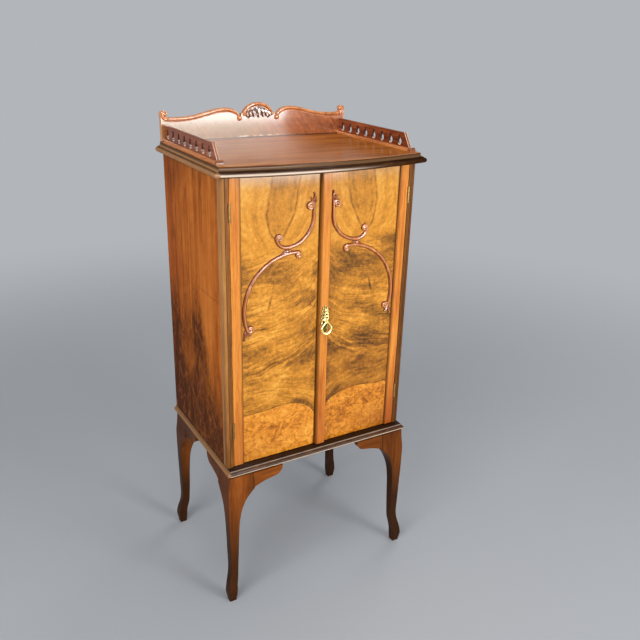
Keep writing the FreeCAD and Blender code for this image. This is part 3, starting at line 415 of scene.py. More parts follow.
def door_veneer():
    """Book-matched crotch veneer: a vase in the upper third, swirls below, and burr at the foot."""
    dark, brown, gold, light = (tint("veneer_" + part) for part in ("dark", "brown", "gold", "light"))
    f = Finish("door_veneer", 0.5, 0.08)
    right = f.x.step(-1, 1)
    out = abs(f.x - BOOK_MATCH) + right * 4
    up = f.z - right * 5
    leaf = f.combine(out + right * 60, 0, up)
    wander = f.noise((70, 70, 60), 3, at=leaf) - 0.5
    stray = f.noise((60, 60, 50), 3, at=f.vector("ADD", leaf, (310, 90, 40))) - 0.5
    u = out + wander * 34
    z = up + stray * 34
    mottle = f.noise(9, 4, 0.7, at=leaf)
    clouds = f.noise((80, 80, 46), 3, 0.55, 0.6, at=leaf)

    # Nested vase lines of the upper third
    drop = up - 884 + stray * 8
    half = (drop / 62).most(0).least(1).sqrt() * 33
    aside = out - 112 + (drop - 21).most(0) * 0.17 + wander * 12
    below = drop.least(0)
    ring = (aside * aside + below * below).sqrt() - half
    nested = f.combine(ring, 0, up)
    fan = f.noise((11, 1, 120), 3, 0.6, at=nested)
    hair = f.noise((1.8, 1, 26), 3, 0.65, at=nested)
    broken = f.noise(20, 3, at=leaf).step(0.3, 0.6)
    outline = ring.bell(0, 2.449) * (0.3 + broken * 0.7) * 0.36
    echo = ring.bell(-11, 2.828) * (1 - broken) * 0.25
    outer = ring.bell(30, 7.746) * (0.2 + broken * 0.8) * 0.17
    inside = ring.step(3, -6) * drop.step(-6, 14)
    upper = vary(0.7, (fan, 0.4), (hair, 0.3), (mottle, 0.62), (clouds, 0.5))
    crown = f.blob(out, up, (110, 1002), (17, 26)) * fan.step(0.4, 0.6)
    wisp = f.blob(out + (up - 985) * 0.6, up, (58, 985), (7, 9)) * mottle.step(0.4, 0.6)
    upper = upper - outline - echo - outer - inside * 0.13 - crown * 0.3 - wisp * 0.3

    # Swirls that climb to the meeting line above and sink to it below
    climb = u.fade(44) * (z.step(520, 668) * 112 - 40)
    slope = z.step(700, 610) * 0.2 - z.step(600, 540) * 0.24
    flow = f.combine(u, 0, z - climb + (u - 190) * slope)
    streak = f.noise((84, 1, 9), 3, 0.6, 0.4, at=flow)
    fine = f.noise((46, 1, 3.6), 3, 0.6, 0.3, at=flow)
    strokes = f.noise((34, 1, 2.2), at=flow).step(0.56, 0.68)
    busy = f.noise((58, 58, 44), at=f.vector("ADD", leaf, (40, 700, 90))).step(0.36, 0.64)
    calm = f.blob(u, z, (102, 812), (70, 34)) * 0.45
    lines = vary(0, (streak, 0.78), (fine, 0.72)) * (0.5 + busy * 0.75) * (1 - calm)
    lower = vary(0.572 + lines, (mottle, 0.92), (clouds, 1)) - (strokes - 0.15) * 0.15

    # Dark clouds, bands and flecks
    cloud = f.blob(u, z, (102, 812), (58, 22)) * 0.26
    shoulder = f.blob(u, z, (198, 834), (36, 36)) * 0.32
    band_at = right * u.bell(128, 60) * 22 + u.fade(60) * 8 + 590
    band = (z - band_at).bell(0, 27) * streak.step(0.74, 0.4)
    band = band * (0.3 + right * 0.06) * (0.4 + u.step(0, 70) * 0.6)
    upper_band = (z + (u - 150) * 0.12).bell(642, 10) * u.step(70, 130) * (1 - right) * 0.2
    knots = f.blob(out, up, (26, 618), (11, 10)) + f.blob(out, up, (118, 570), (22, 6))
    centre = out.fade(26) * up.step(760, 640) * up.step(470, 540) * 0.15
    slit = f.blob(out + (up - 748) * 0.3, up, (131, 748), (2.6, 15)) * 0.45
    sweep = (z + (u - 120) * 0.5).bell(690, 15) * u.step(70, 120) * 0.2
    shade = f.blob(u, z, (130, 543), (96, 40)) * 0.26 + f.blob(u, z, (60, 800), (70, 60)) * 0.14
    dull = right * (0.07 + sweep + shade)
    lower = lower - cloud - shoulder - band - upper_band - knots * 0.16 - centre - slit - dull
    tone = lower + (upper - lower) * (z + wander * 26).step(846, 878)

    # The wavy joint with the burr, and the dark heart just above it
    joint = out.bell(92, 48) * 7 - out.fade(22) * 66 + stray * 8 + 484
    over = up - joint
    heart = f.blob(out, over, (26, 6), (26, 11)) * 0.42 + over.step(36, 0) * 0.14
    seam = over.bell(0, 2.236) * broken * 0.45
    figure = f.ramp(tone - heart - seam, (0, dark), (0.3, brown), (0.62, gold), (0.95, light))
    burr_dark = tint("burr_dark")
    figure = f.mix(up.step(650, 560) * (0.07 + right * 0.12), figure, burr_dark)
    curls = f.noise((19, 19, 17), 5, 0.7, 1.6)
    jitter = f.vector("SCALE", f.combine(wander, 0, mottle), Scale=16)
    eyes = f.cells(f.vector("ADD", f.point, jitter), 7)
    burr_tone = vary(0.53, (curls, 1.7), (clouds, 0.9)) + (0.42 - eyes) * 0.2 - right * 0.08
    corner = f.blob(out, up, (205, 362), (80, 60)) * (0.3 + right * 0.35)
    burr = f.mix(corner, f.stain(burr_tone, "burr"), burr_dark)
    base = f.mix(over.step(1.5, -1.5), figure, burr)
    # Painted sheen: the top of each door panel is painted paler, less so on the right door
    painted_sheen = f.z.step(992, 1026) * (0.42 - right * 0.2)
    base = f.mix(painted_sheen, base, tint("shine"))

    # Pores, the painted shadow line beside the strips, and the plain back of the door
    pores = f.noise((7, 1, 0.8), 1, at=flow).step(*PORE)
    base = f.mix(pores * 0.26, base, dark)
    inward = (HINGE_EDGE - abs(f.x)).least((LEFT_EDGE - f.x).most(f.x - STRIP_EDGE))
    line = sizes().strip_shadow_line / MM
    base = f.mix(inward.step(line, line * 0.25) * 0.8, base, dark)
    back = f.y.step(PANEL_FACE + 12, PANEL_FACE + 15.5)
    base = f.mix(back, base, f.plain(24))
    gloss = vary(0.36, (clouds, 0.14)) + pores * 0.06 + back * 0.2
    return f.paint(base, gloss, pores + streak * 0.5, 0.08)


def side_veneer(node):
    """Streaked side boards, dark heartwood below with a ragged upper edge, a painted shadow under the top,
    plain on the inside.
    """
    f = Finish(node + "_wood", 0.12, 0.1, specular=0)
    dark = tint("side_dark")
    tone, pores = f.grain("Z", 20)
    broad = f.noise((60, 60, 420), 3, 0.6, 0.6)
    blotch = f.noise((34, 34, 60), 4, 0.66, 1)
    ragged = f.noise((34, 34, 150), 4, 0.62, 0.8)
    crumbs = f.noise((15, 15, 30), 4, 0.68, 1.2)
    bright = f.blob(f.y, f.z, (-62, 700), (52, 150)) * 0.24
    tone = vary(0.5, (tone, 0.7), (broad, 0.4), (blotch, 0.5)) + bright
    base = f.stain(tone, "side", 0.45)
    red = f.noise((90, 90, 130)).step(0.45, 0.7) * 0.2 + f.y.step(70, 180) * 0.4
    base = f.mix(red, base, tint("side_red"))

    # Heartwood, with flecks and strokes in it, and a painted shadow under the top board
    brow = 560 + f.y.step(-120, 20) * 230 - f.y.step(20, 90) * 60 + f.y.step(90, 180) * 50
    ravel = vary(0, (ragged, 1.6), (blotch, 1.4), (crumbs, 1.5))
    heart = ((brow - f.z) / 140 + ravel).step(0.1, 0.95)
    low = f.z.step(560, 400) * 0.42
    plume = f.blob(f.y, f.z, (5, 610), (34, 80)) * 0.45
    plume = plume - f.blob(f.y, f.z, (78, 585), (30, 55)) * 0.3
    rear = f.y.step(70, 150) * (f.z + ravel * 60).step(760, 560) * 0.4
    # Painted shadow under the top board: the side is darker towards its top, more so at the back; it joins
    # the heartwood's stain below
    shadow = f.z.step(950, 1026) * 0.2 + f.y.step(30, 140) * f.z.step(890, 1000) * 0.3
    stain = heart * 0.7 + low + plume * ragged.step(0.3, 0.6) + rear + shadow
    stain = stain * vary(0.8, (crumbs, 1.7), (blotch, -1.4))
    base = f.mix(stain.most(0).least(0.9), base, dark)
    deep = heart * 0.5 + low
    base = f.mix(crumbs.step(0.56, 0.74) * deep.least(0.6) * 0.8, base, tint("side_red"))
    leaning = f.combine(f.x, f.y * 0.9 + f.z * 0.4, f.z * 0.9 - f.y * 0.4)
    strokes = f.noise((18, 18, 46), 3, 0.6, 0.8, at=leaning).step(0.54, 0.68)
    base = f.mix(strokes * deep.least(0.7) * 0.5, base, tint("side_pink"))
    base = f.mix(pores * 0.3, base, dark)
    crack = vary(f.z, (ragged, 10)).bell(757, 1.6) * f.y.step(40, -60) * 0.35
    base = f.mix(crack, base, dark)
    within = abs(f.x).step(233, 229)
    base = f.mix(within, base, f.plain(30))
    gloss = vary(0.36, (broad, 0.16)) + pores * 0.08 + within * 0.2
    return f.paint(base, gloss, pores + tone * GRAIN_TONE)


def moulding(f, tone, grimy):
    """The dark, grimy wood of the moulded edges."""
    return f.ramp(tone * 0.6 + grimy * 0.4, *zip((0.2, 0.5, 0.85), shades("case")))


def top_wood():
    """The top board: long grain, and round its edge a dark nose, a cove, a quirk painted dark as shade, a
    bead with a painted highlight, and painted light on the left flank.
    """
    f = Finish("top_wood", 0.6, 0.2, specular=0)
    tone, pores = f.grain("X", 30)
    broad = f.noise((420, 70, 60), 3, 0.6, 0.4)
    clouds = f.noise((110, 36, 60), 4, 0.6, 0.8)
    tone = vary(0.5, (tone, 0.8), (broad, 0.6), (clouds, 0.7))
    base = f.stain(tone, "top")
    base = f.mix(pores * 0.3, base, tint("top_dark"))
    deep = TOP_SURFACE - f.z
    grimy = f.noise((22, 22, 8), 3)
    # Painted light: the left flank of the moulded edge is painted pale where the lamp falls on it
    lit_left_flank = (abs(f.x) - extent("top_board")[1].x + 12).step(0, 3) * f.x.step(200, -200)
    edge = f.mix(lit_left_flank * (0.55 + grimy * 0.4), moulding(f, tone, grimy), tint("tan"))
    # Painted shade: the quirk is painted dark
    edge = f.mix(deep.bell(10.4, 1.9) * 0.7, edge, tint("case_dark"))
    # Painted highlight: a bright line along the bead, fading towards the right
    rubbed = deep.bell(17, 2) * f.x.step(150, -60) * (1 - lit_left_flank)
    edge = f.mix(rubbed, edge, tint("shine"))
    nose = deep.step(0.2, 1.2)
    base = f.mix(nose * 0.9, base, tint("nose"))
    cove = f.mix(lit_left_flank, tint("cove"), tint("tan"))
    base = f.mix(deep.step(3, 4.6) * (0.7 + grimy * 0.3), base, cove)
    base = f.mix(deep.step(7.6, 9.4), base, edge)
    gloss = vary(0.3, (f.noise(90, 3), 0.16)) + pores * 0.08
    coat = 0.6 - nose * 0.45 + rubbed * 0.4 - f.x.step(-40, 220) * 0.15
    return f.paint(base, gloss, pores + tone * GRAIN_TONE, 0.1, coat=coat)


def base_wood():
    """The base board's moulded edge: grimy and dark, with painted shade along its top under the doors,
    painted highlight lines along its bead and upper arris, and painted light on its left flank.
    """
    f = Finish("base_wood", 0.14, 0.1, specular=0.02)
    dark = tint("case_dark")
    tone, pores = f.grain("X", 20)
    grimy = f.noise((20, 20, 7), 3)
    base = moulding(f, tone, grimy)
    low, high = extent("base_board")
    # Painted light: the left flank is painted pale where the lamp falls on it
    lit_left_flank = (abs(f.x) - high.x + 9).step(0, 6) * f.x.step(200, -200)
    base = f.mix(lit_left_flank * f.z.step(low.z + 3, low.z + 9) * 0.62, base, tint("tan"))
    # Painted highlight: bright lines along the bead and the upper arris
    bead = f.z.bell(low.z + 6.2, 1.5) * (1 - lit_left_flank) * (0.6 + grimy * 0.7)
    arris = f.z.bell(high.z - 2.6, 1.1) * (1 - lit_left_flank) * (0.24 + grimy * 0.4)
    base = f.mix(bead.most(arris).least(0.95), base, tint("shine"))
    # Painted shade: the top of the board, under the doors, is painted dark
    base = f.mix(f.z.step(high.z - 1.2, high.z - 0.2) * 0.8, base, dark)
    base = f.mix(pores * 0.3, base, dark)
    return f.paint(base, vary(0.36, (grimy, 0.2)), pores + tone * GRAIN_TONE)


def leg_wood(name, along):
    """Leg and bracket wood: dark at the joints, darker towards the feet and scuffed near the floor, with
    painted shade on the side faces and on the right-hand and back legs.
    """

    joint_place, joint_reach = (181.5, -168), (1.3, 14)

    def shade_and_wear(f, base):
        scuffs = f.noise((6, 6, 9), 4, 0.7)
        facing = f.node("ShaderNodeTexCoord", {}, {}, "Normal")
        sideways = abs(f.node("ShaderNodeSeparateXYZ", {}, {0: facing}))
        # This sum holds the darkening towards the foot, the scuffs near the floor and the painted shade below
        worn = f.z.step(300, 60) * 0.82 + f.z.step(40, 6) * scuffs.step(0.45, 0.65) * 0.4
        # Painted shade: faces that look sideways are darker
        worn = worn + sideways.step(0.45, 0.85) * 0.45
        # Painted shade: the right-hand and the back legs are darker
        worn = worn + f.x.step(-80, 160) * 0.34 + f.y.step(0, 120) * 0.25
        joint = f.blob(abs(f.x), f.y, joint_place, joint_reach) * f.z.step(296, 304)
        return f.mix((worn + joint * 0.7).least(0.92), base, tint("leg_dark"))

    return wood(name, "leg", along, 26, 0.6, 0.14, 0.36, alter=shade_and_wear, specular=0.02)


def gallery_board():
    """The board behind the gallery: leaning mottled figure under a thick old polish."""
    f = Finish("gallery_board_wood", 1, 0.14, coat_ior=1.95)
    tone, pores = f.grain("X", 16)
    leaning = f.combine(f.x * 0.8 + f.z * 0.6, f.y, f.z * 0.8 - f.x * 0.6)
    figure = f.noise((9, 9, 40), 4, 0.65, 0.8, at=leaning)
    mottle = f.noise((30, 30, 24), 3, 0.6)
    tone = vary(0.5, (tone, 0.3), (figure, 1.1), (mottle, 0.8))
    base = f.stain(tone, "gallery")
    # A duller, yellower tone towards the left end of the gallery board
    base = f.mix(f.x.step(120, -60) * 0.7, base, tint("faded"))
    base = f.mix(pores * 0.25, base, tint("gallery_dark"))
    base = f.mix(abs(f.x).step(238.5, 242) * 0.8, base, tint("gallery_light"))
    foot = f.z - TOP_SURFACE
    base = f.mix(foot.step(3.4, 1.6) * 0.9, base, tint("case_dark"))
    chips = f.noise((11, 11, 4), 3).step(0.42, 0.56) * foot.bell(4.6, 1.3)
    chips = chips * f.x.step(-58, -46) * f.x.step(64, 52)
    base = f.mix(chips * 0.9, base, tint("shine"))
    gloss = vary(0.34, (mottle, 0.14)) + pores * 0.08
    coat = 0.66 + f.z.step(1108, 1084) * 0.34
    return f.paint(base, gloss, pores + tone * GRAIN_TONE, 0.1, coat=coat)


def fret_wood(node):
    """A pierced gallery side: its keyholes' walls are painted dark as shade, with a painted highlight at
    their feet and along the raked front edge.
    """
    low, high = extent(node)
    middle, half = (low.x + high.x) / 2, (high.x - low.x) / 2
    rake_slope = 22 / 32

    def pierced(f, base):
        across = abs(f.x - middle)
        # Painted shade: the keyholes' walls are painted dark
        shaded_wall = across.step(half - 0.2, half - 0.8)
        shaded_wall = shaded_wall * f.z.step(high.z - 2, high.z - 4) * f.y.step(low.y + 25, low.y + 29)
        base = f.mix(shaded_wall * 0.85, base, tint("fret_dark"))
        # Painted highlight: a bright spot at the foot of each keyhole, and a line along the raked front edge
        spot = shaded_wall * f.z.step(low.z + 7, low.z + 4)
        rake = (f.z - low.z) * rake_slope - (f.y - low.y)
        painted_rim_highlight = across.step(half - 1.6, half - 0.4) * rake.step(-2.6, -0.6) * 0.8
        return f.mix((spot * 0.75).most(painted_rim_highlight), base, tint("shine"))

    return wood(node + "_wood", "fret", "Y", 14, 0.9, 0.3, worn=node, alter=pierced)


def carved(name, group, ground, coat=1, coat_ior=1.7, ridge=None):
    """Carved wood: ridges lighter, as rubbing and as painted highlight; hollows darker, as old polish left
    there and as painted shade; and a painted shadow along the face it stands on.
    """
    dark, light = tint(group + "_dark"), tint(group + "_light")
    f = Finish(name, coat, 0.06, coat_ior=coat_ior)
    tone, pores = f.grain("Z", 9)
    hollow = f.attribute("hollow")
    base = f.stain(vary(0.5, (tone, 0.7)), group)
    # The hollows are darkened, as old polish left there and as painted shade
    base = f.mix(hollow.step(0.5, 0.72) * 0.92, base, dark)
    # The ridges are lightened, as rubbing and as painted highlight
    base = f.mix(hollow.step(0.42, 0.2) * (0.15 if ridge else 0.6), base, light)
    rise = ground - f.y
    # Painted shadow: dark along the face the carving stands on
    base = f.mix(rise.step(4.6 if ridge else 2.4, 0.8) * 0.8, base, dark)
    if ridge:
        # A lighter line along the top of the bead, as rubbing and as painted highlight
        rubbed = rise.step(ridge * 0.88, ridge) * rise.step(ridge * 1.2, ridge * 1.08)
        base = f.mix(rubbed * 0.46, base, light)
    return f.paint(base, 0.3 + hollow.step(0.5, 0.8) * 0.25 + pores * 0.08, pores, 0.08, -0.15)


def brass(name, group, alter=None):
    """Old lacquered brass: bright where it is handled, brown in its hollows."""
    dark, middle, light = shades(group)
    f = Finish(name, 0.15, 0.2, 1)
    hollow = f.attribute("hollow")
    tarnish = f.noise(7, 4, 0.65)
    scratches = f.noise((0.5, 0.5, 7))
    base = f.ramp(tarnish, (0.25, middle), (0.6, light))
    base = f.mix(tarnish.step(0.58, 0.76) * 0.45, base, dark)
    base = f.mix(hollow.step(0.47, 0.62) * 0.95, base, dark)
    if alter:
        base = alter(f, base)
    rough = 0.3 + tarnish * 0.16 + scratches * 0.08 + hollow.step(0.5, 0.75) * 0.25
    return f.paint(base, rough, scratches + tarnish, 0.12, 0.1)


def steel():
    f = Finish("steel", 0, 0.1, 1)
    tarnish = f.noise(5, 4, 0.65)
    scratches = f.noise((0.4, 0.4, 6))
    base = f.ramp(tarnish, (0.35, tint("steel_dark")), (0.62, tint("steel_light")))
    return f.paint(base, 0.3 + tarnish * 0.25 + scratches * 0.1, scratches, 0.1, 0.08)


def shares(count):
    """Even steps from 0 to 1."""
    return [number / (count - 1) for number in range(count)]


def spokes(count):
    """Cosine and sine of even steps round a circle."""
    angles = [2 * math.pi * number / count for number in range(count)]
    return [(math.cos(angle), math.sin(angle)) for angle in angles]


def arc_points(centre, radius, start, end, count):
    """Points (across, up) round a centre; radius may be a (first, last) pair, angles in degrees."""
    first, last = radius if isinstance(radius, tuple) else (radius, radius)
    points = []
    for share in shares(count):
        angle = math.radians(start + (end - start) * share)
        reach = first + (last - first) * share
        points.append(Vector((centre[0] + reach * math.cos(angle), centre[1] + reach * math.sin(angle))))
    return points


def bezier_points(poles, count):
    """Points along a cubic curve through (across, up) poles."""
    p0, p1, p2, p3 = (Vector(pole) for pole in poles)
    points = []
    for t in shares(count):
        s = 1 - t
        points.append(p0 * s ** 3 + p1 * (3 * s * s * t) + p2 * (3 * s * t * t) + p3 * t ** 3)
    return points


def curl(end, heading, turn, radius, turns=1.25, count=36):
    """A spiral that leaves a point along a heading, turning left for 1 and right for -1, and its eye."""
    heading = Vector(heading).normalized()
    aside = Vector((-heading.y, heading.x)) * turn
    eye = Vector(end) + aside * radius
    start = math.degrees(math.atan2(-aside.y, -aside.x))
    return arc_points(eye, (radius, radius * 0.3), start, start + turn * 360 * turns, count)[1:], eye


class Carving:
    """Ribs, leaves and beads on a face that looks towards -Y, melted into one carved skin."""

    def __init__(self, face, flip=1):
        self.mesh = bmesh.new()
        self.face = face
        self.flip = flip

    def place(self, across, up, out):
        return Vector((self.flip * across, self.face - out, up)) * MM

    def loft(self, rings):
        rings = [[self.mesh.verts.new(point) for point in ring] for ring in rings]
        for first, second in zip(rings, rings[1:]):
            for number in range(len(first)):
                after = (number + 1) % len(first)
                self.mesh.faces.new((first[number], first[after], second[after], second[number]))
        self.mesh.faces.new(reversed(rings[0]))
        self.mesh.faces.new(rings[-1])

    def sweep(self, path, section):
        """Sweeps section(share), a ring of (over, out) pairs, along (across, up) points."""
        rings = []
        last = len(path) - 1
        for number, point in enumerate(path):
            heading = (path[min(number + 1, last)] - path[max(number - 1, 0)]).normalized()
            aside = Vector((-heading.y, heading.x))
            spots = [(point + aside * over, out) for over, out in section(number / last)]
            rings.append([self.place(spot.x, spot.y, out) for spot, out in spots])
        self.loft(rings)

    def rib(self, path, half_width, height, sunk=1, vein=0, sides=16):
        """A rounded rib; half_width and height give millimetres for the share of its length."""

        def section(share):
            ring = []
            for over, out in spokes(sides):
                groove = 1 - vein * math.exp(-((over / 0.28) ** 2))
                rise = height(share) * out * groove if out > 0 else sunk * out
                ring.append((half_width(share) * over, rise))
            return ring

        self.sweep(path, section)

    def leaf(self, poles, width, height, vein=0.5):
        """A pointed leaf along a cubic curve, fullest a third of the way, its tip turned up a little."""

        def breadth(share):
            return 0.25 + width * math.sin(math.pi * min(share * 0.82 + 0.16, 1)) ** 0.8

        def rise(share):
            return height * (0.55 + 0.6 * math.sin(math.pi * share * 0.75)) + 0.3 * height * share ** 3

        self.rib(bezier_points(poles, 18), breadth, rise, vein=vein)

    def bead(self, across, up, radius, height, sunk=0):
        centre = self.place(across, up, -sunk)
        scale = Matrix.Diagonal((radius * MM, (height + sunk) * MM, radius * MM, 1))
        matrix = Matrix.Translation(centre) @ scale
        bmesh.ops.create_icosphere(self.mesh, subdivisions=3, radius=1, matrix=matrix)

    def wire(self, points, radius, closed=True, sides=12):
        """A round wire along points in millimetres; radius gives millimetres for the share of its length."""
        count = len(points)
        rings = []
        for number, point in enumerate(points):
            after = points[(number + 1) % count] if closed else points[min(number + 1, count - 1)]
            before = points[number - 1] if closed else points[max(number - 1, 0)]
            heading = (after - before).normalized()
            sideways = heading.cross(Vector((0.31, 0.87, 0.38))).normalized()
            upwards = sideways.cross(heading)
            reach = radius(number / (count - 1))
            around = [sideways * over + upwards * out for over, out in spokes(sides)]
            rings.append([(point + spoke * reach) * MM for spoke in around])
        if closed:
            rings.append(rings[0])
        self.loft(rings)

    def skin(self, name, voxel, keep):
        """Melts everything into one closed mesh, keeps a share of its faces and marks its hollows."""
        bmesh.ops.recalc_face_normals(self.mesh, faces=self.mesh.faces)
        mesh = bpy.data.meshes.new(name)
        self.mesh.to_mesh(mesh)
        self.mesh.free()
        made = bpy.data.objects.new(name, mesh)
        bpy.context.scene.collection.objects.link(made)
        melt = made.modifiers.new("melt", "REMESH")
        melt.mode = "VOXEL"
        melt.voxel_size = voxel
        ease = made.modifiers.new("ease", "SMOOTH")
        ease.factor = 0.5
        ease.iterations = 3
        made.modifiers.new("lighten", "DECIMATE").ratio = keep
        graph = bpy.context.evaluated_depsgraph_get()
        made.data = bpy.data.meshes.new_from_object(made.evaluated_get(graph))
        made.data.name = name
        made.modifiers.clear()
        if len(made.data.polygons) == 0:
            raise RuntimeError(name + " came out empty")
        made.data.shade_smooth()
        mark_hollows(made.data)
        return made


def mark_hollows(mesh):
    """Stores at each vertex how hollow the skin is there: 0 on a ridge, a half where flat, 1 in a hollow."""
    count = len(mesh.vertices)
    places = np.empty(count * 3)
    normals = np.empty(count * 3)
    ends = np.empty(len(mesh.edges) * 2, dtype=np.int64)
    mesh.vertices.foreach_get("co", places)
    mesh.vertices.foreach_get("normal", normals)
    mesh.edges.foreach_get("vertices", ends)
    places, normals, ends = places.reshape(-1, 3), normals.reshape(-1, 3), ends.reshape(-1, 2)
    degree = np.maximum(np.bincount(ends.ravel(), minlength=count), 1)

    def around(values):
        total = np.zeros_like(values)
        np.add.at(total, ends[:, 0], values[ends[:, 1]])
        np.add.at(total, ends[:, 1], values[ends[:, 0]])
        return total / (degree if values.ndim == 1 else degree[:, None])

    bend = np.einsum("ij,ij->i", around(places) - places, normals)
    reach = np.linalg.norm(places[ends[:, 0]] - places[ends[:, 1]], axis=1).mean()
    bend = bend / reach
    for turn in range(4):
        bend = (bend + around(bend)) / 2
    hollow = np.clip(0.5 + bend * 2.5, 0, 1)
    attribute = mesh.attributes.new("hollow", "FLOAT", "POINT")
    attribute.data.foreach_set("value", hollow.astype(np.float32))


def carve(shape, face, flip, name, grain, keep, material, body, node):
    """Carves a shape on a face, mirrored for -1, and puts the piece in the place of its CAD node."""
    carving = Carving(face, flip)
    shape(carving)
    piece = carving.skin(name, grain, keep)
    piece.data.materials.append(material)
    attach(piece, body)
    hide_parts(node)


class CABINET_OT_doors(bpy.types.Operator):
    """Veneers the door panels and gives the strips their straight grain"""

    bl_idname = "cabinet.doors"
    bl_label = "Doors"

    def execute(self, context):
        dress(door_veneer(), "left_door_panel", "right_door_panel")
        for node in ("left_door_hinge_strip", "right_door_hinge_strip", "right_door_centre_strip"):
            darker_foot_shadowed_edge = self.darker_foot_shadowed_edge(node)
            dress(wood(node + "_wood", "strip", "Z", 12, 0.8, 0.5, 0.34, worn=node, alter=darker_foot_shadowed_edge), node)
        return {"FINISHED"}

    def darker_foot_shadowed_edge(self, node):
        """Darkens a strip towards its foot, and paints a shadow along its edge beside the panels."""
        low, high = extent(node)
        right = node.startswith("right")

        def darken(f, base):
            inward = f.x - low.x if right else high.x - f.x
            # Painted shadow along the edge beside the panel
            edge = inward.step(4.6, 2) * (0.62 if right else 0.36)
            foot = f.z.step(560, 376) * (0.5 + f.x.step(150, 180) * 0.4)
            base = f.mix(foot, base, tint("strip_dark"))
            return f.mix(edge, base, tint("stile_dark"))

        return darken


class CABINET_OT_carcase(bpy.types.Operator):
    """Finishes the sides, stiles, top board, base board and legs"""

    bl_idname = "cabinet.carcase"
    bl_label = "Carcase"

    def execute(self, context):
        upright, level = leg_wood("leg_wood", "Z"), leg_wood("bracket_wood", "X")
        for side in SIDES:
            panel, stile = "side_panel_" + side, "front_stile_" + side
            dress(side_veneer(panel), panel)
            dress(wood(stile + "_wood", "stile", "Z", 14, 0.9, 0.14, worn=stile, alter=self.painted_stile_shading), stile)
            for end in ("front_", "back_"):
                dress(upright, "leg_" + end + side)
                dress(level, "knee_brackets_" + end + side)
        dress(top_wood(), "top_board")
        dress(base_wood(), "base_board")
        return {"FINISHED"}

    def painted_stile_shading(self, f, base):
        """Painted shade darkens the right-hand stile, and the left one is darker away from its bead, which
        has a painted highlight; both darken towards the foot.
        """
        right = f.x.step(-1, 1)
        bead = abs(f.x).step(229, 232) * (1 - right)
        # Painted highlight along the left stile's bead
        base = f.mix(bead * f.z.step(380, 640) * 0.4, base, tint("stile_light"))
        # Painted shade on the right-hand stile and away from the bead, and darker towards the foot
        shade = right * 0.4 + (1 - bead) * 0.2 + f.z.step(800, 400) * (0.14 + right * 0.12)
        return f.mix(shade, base, tint("stile_dark"))


class CABINET_OT_inside(bpy.types.Operator):
    """Finishes the plain woods inside the cabinet and its back"""

    bl_idname = "cabinet.inside"
    bl_label = "Inside"

    def execute(self, context):
        across = wood("shelf_wood", "inside", "X", 30, 0.9, 0.1, 0.5)
        dress(across, "carcase_bottom", "carcase_top", "shelf_1", "shelf_2", "shelf_3", "shelf_4")
        deep = wood("bearer_wood", "inside", "Y", 16, 0.9, 0.1, 0.5)
        dress(deep, "shelf_bearers_left", "shelf_bearers_right")
        upright = wood("back_wood", "inside", "Z", 34, 1.1, 0, 0.6)
        dress(upright, "back_boards", "leg_dowels")
        return {"FINISHED"}


class CABINET_OT_scrolls(bpy.types.Operator):
    """Carves the scrolls applied to the door panels"""

    bl_idname = "cabinet.scrolls"
    bl_label = "Door scrolls"

    def execute(self, context):
        finish = carved("scroll_wood", "carved", PANEL_FACE, 0.85, 1.6, sizes().scroll_height / MM)
        grain = sizes().carving_grain
        for side, flip in SIDES.items():
            body = side + "_door"
            for level, shape in (("upper", self.upper), ("lower", self.lower)):
                node = body + "_" + level + "_scroll"
                name = "carved_" + node
                carve(shape, PANEL_FACE, flip, name, grain, 0.6, finish, body, node)
        return {"FINISHED"}

    def bow(self, carving, path, start, end):
        """A bead that thins into a spiral curl with a raised eye at each end; each end is (turn, share)."""
        wide, tall = sizes().scroll_half_width / MM, sizes().scroll_height / MM
        points = list(path)
        lengths = []
        for turn, share in (end, start):
            radius = sizes().curl_radius / MM * share
            spiral, eye = curl(points[-1], points[-1] - points[-2], turn, radius)
            points = (points + spiral)[::-1]
            lengths.append(len(spiral))
            carving.bead(eye.x, eye.y, radius * 0.6, tall * 1.35)
        last = len(points) - 1

        def thin(share):
            from_tail = share * last / (lengths[1] * 1.2)
            from_head = (1 - share) * last / (lengths[0] * 1.2)
            return min(1, from_tail, from_head)

        carving.rib(
            points,
            lambda share: wide * (0.5 + 0.5 * thin(share)),
            lambda share: tall * (1.2 - 0.2 * thin(share)),
        )

    def upper(self, carving):
        stem = [Vector((24, up)) for up in (952, 946, 939)]
        sweep = arc_points((88, 931.5), 64, 180, 270, 40)
        turn = arc_points((88, 893.5), 26, 270, 350, 24)[1:]
        self.bow(carving, stem + sweep + turn, (-1, 1.25), (1, 1))
        carving.leaf([(25.5, 954), (22.5, 962), (20.5, 968), (23, 977)], 4.4, 5.6)
        carving.leaf([(27, 960), (27.5, 965), (29, 969), (32.5, 971)], 3.2, 4.8)
        carving.bead(23.4, 979, 3.1, 5)

    def lower(self, carving):
        sweep = arc_points((67.5, 733.1), 122, -19, 93, 60)
        self.bow(carving, sweep, (-1, 1.08), (1, 0.9))
        carving.bead(88, 859.4, 4.6, 6)
        carving.leaf([(100, 854), (94, 858.5), (86, 862), (77, 861.6)], 2.8, 4.6)
        carving.leaf([(184, 696), (187, 688), (187, 681), (190, 673)], 4.6, 5.6)
        carving.leaf([(183, 690), (180.5, 684.5), (178, 681), (173.5, 679)], 3.2, 4.8)
        carving.bead(189.8, 672.2, 3.1, 5.4)


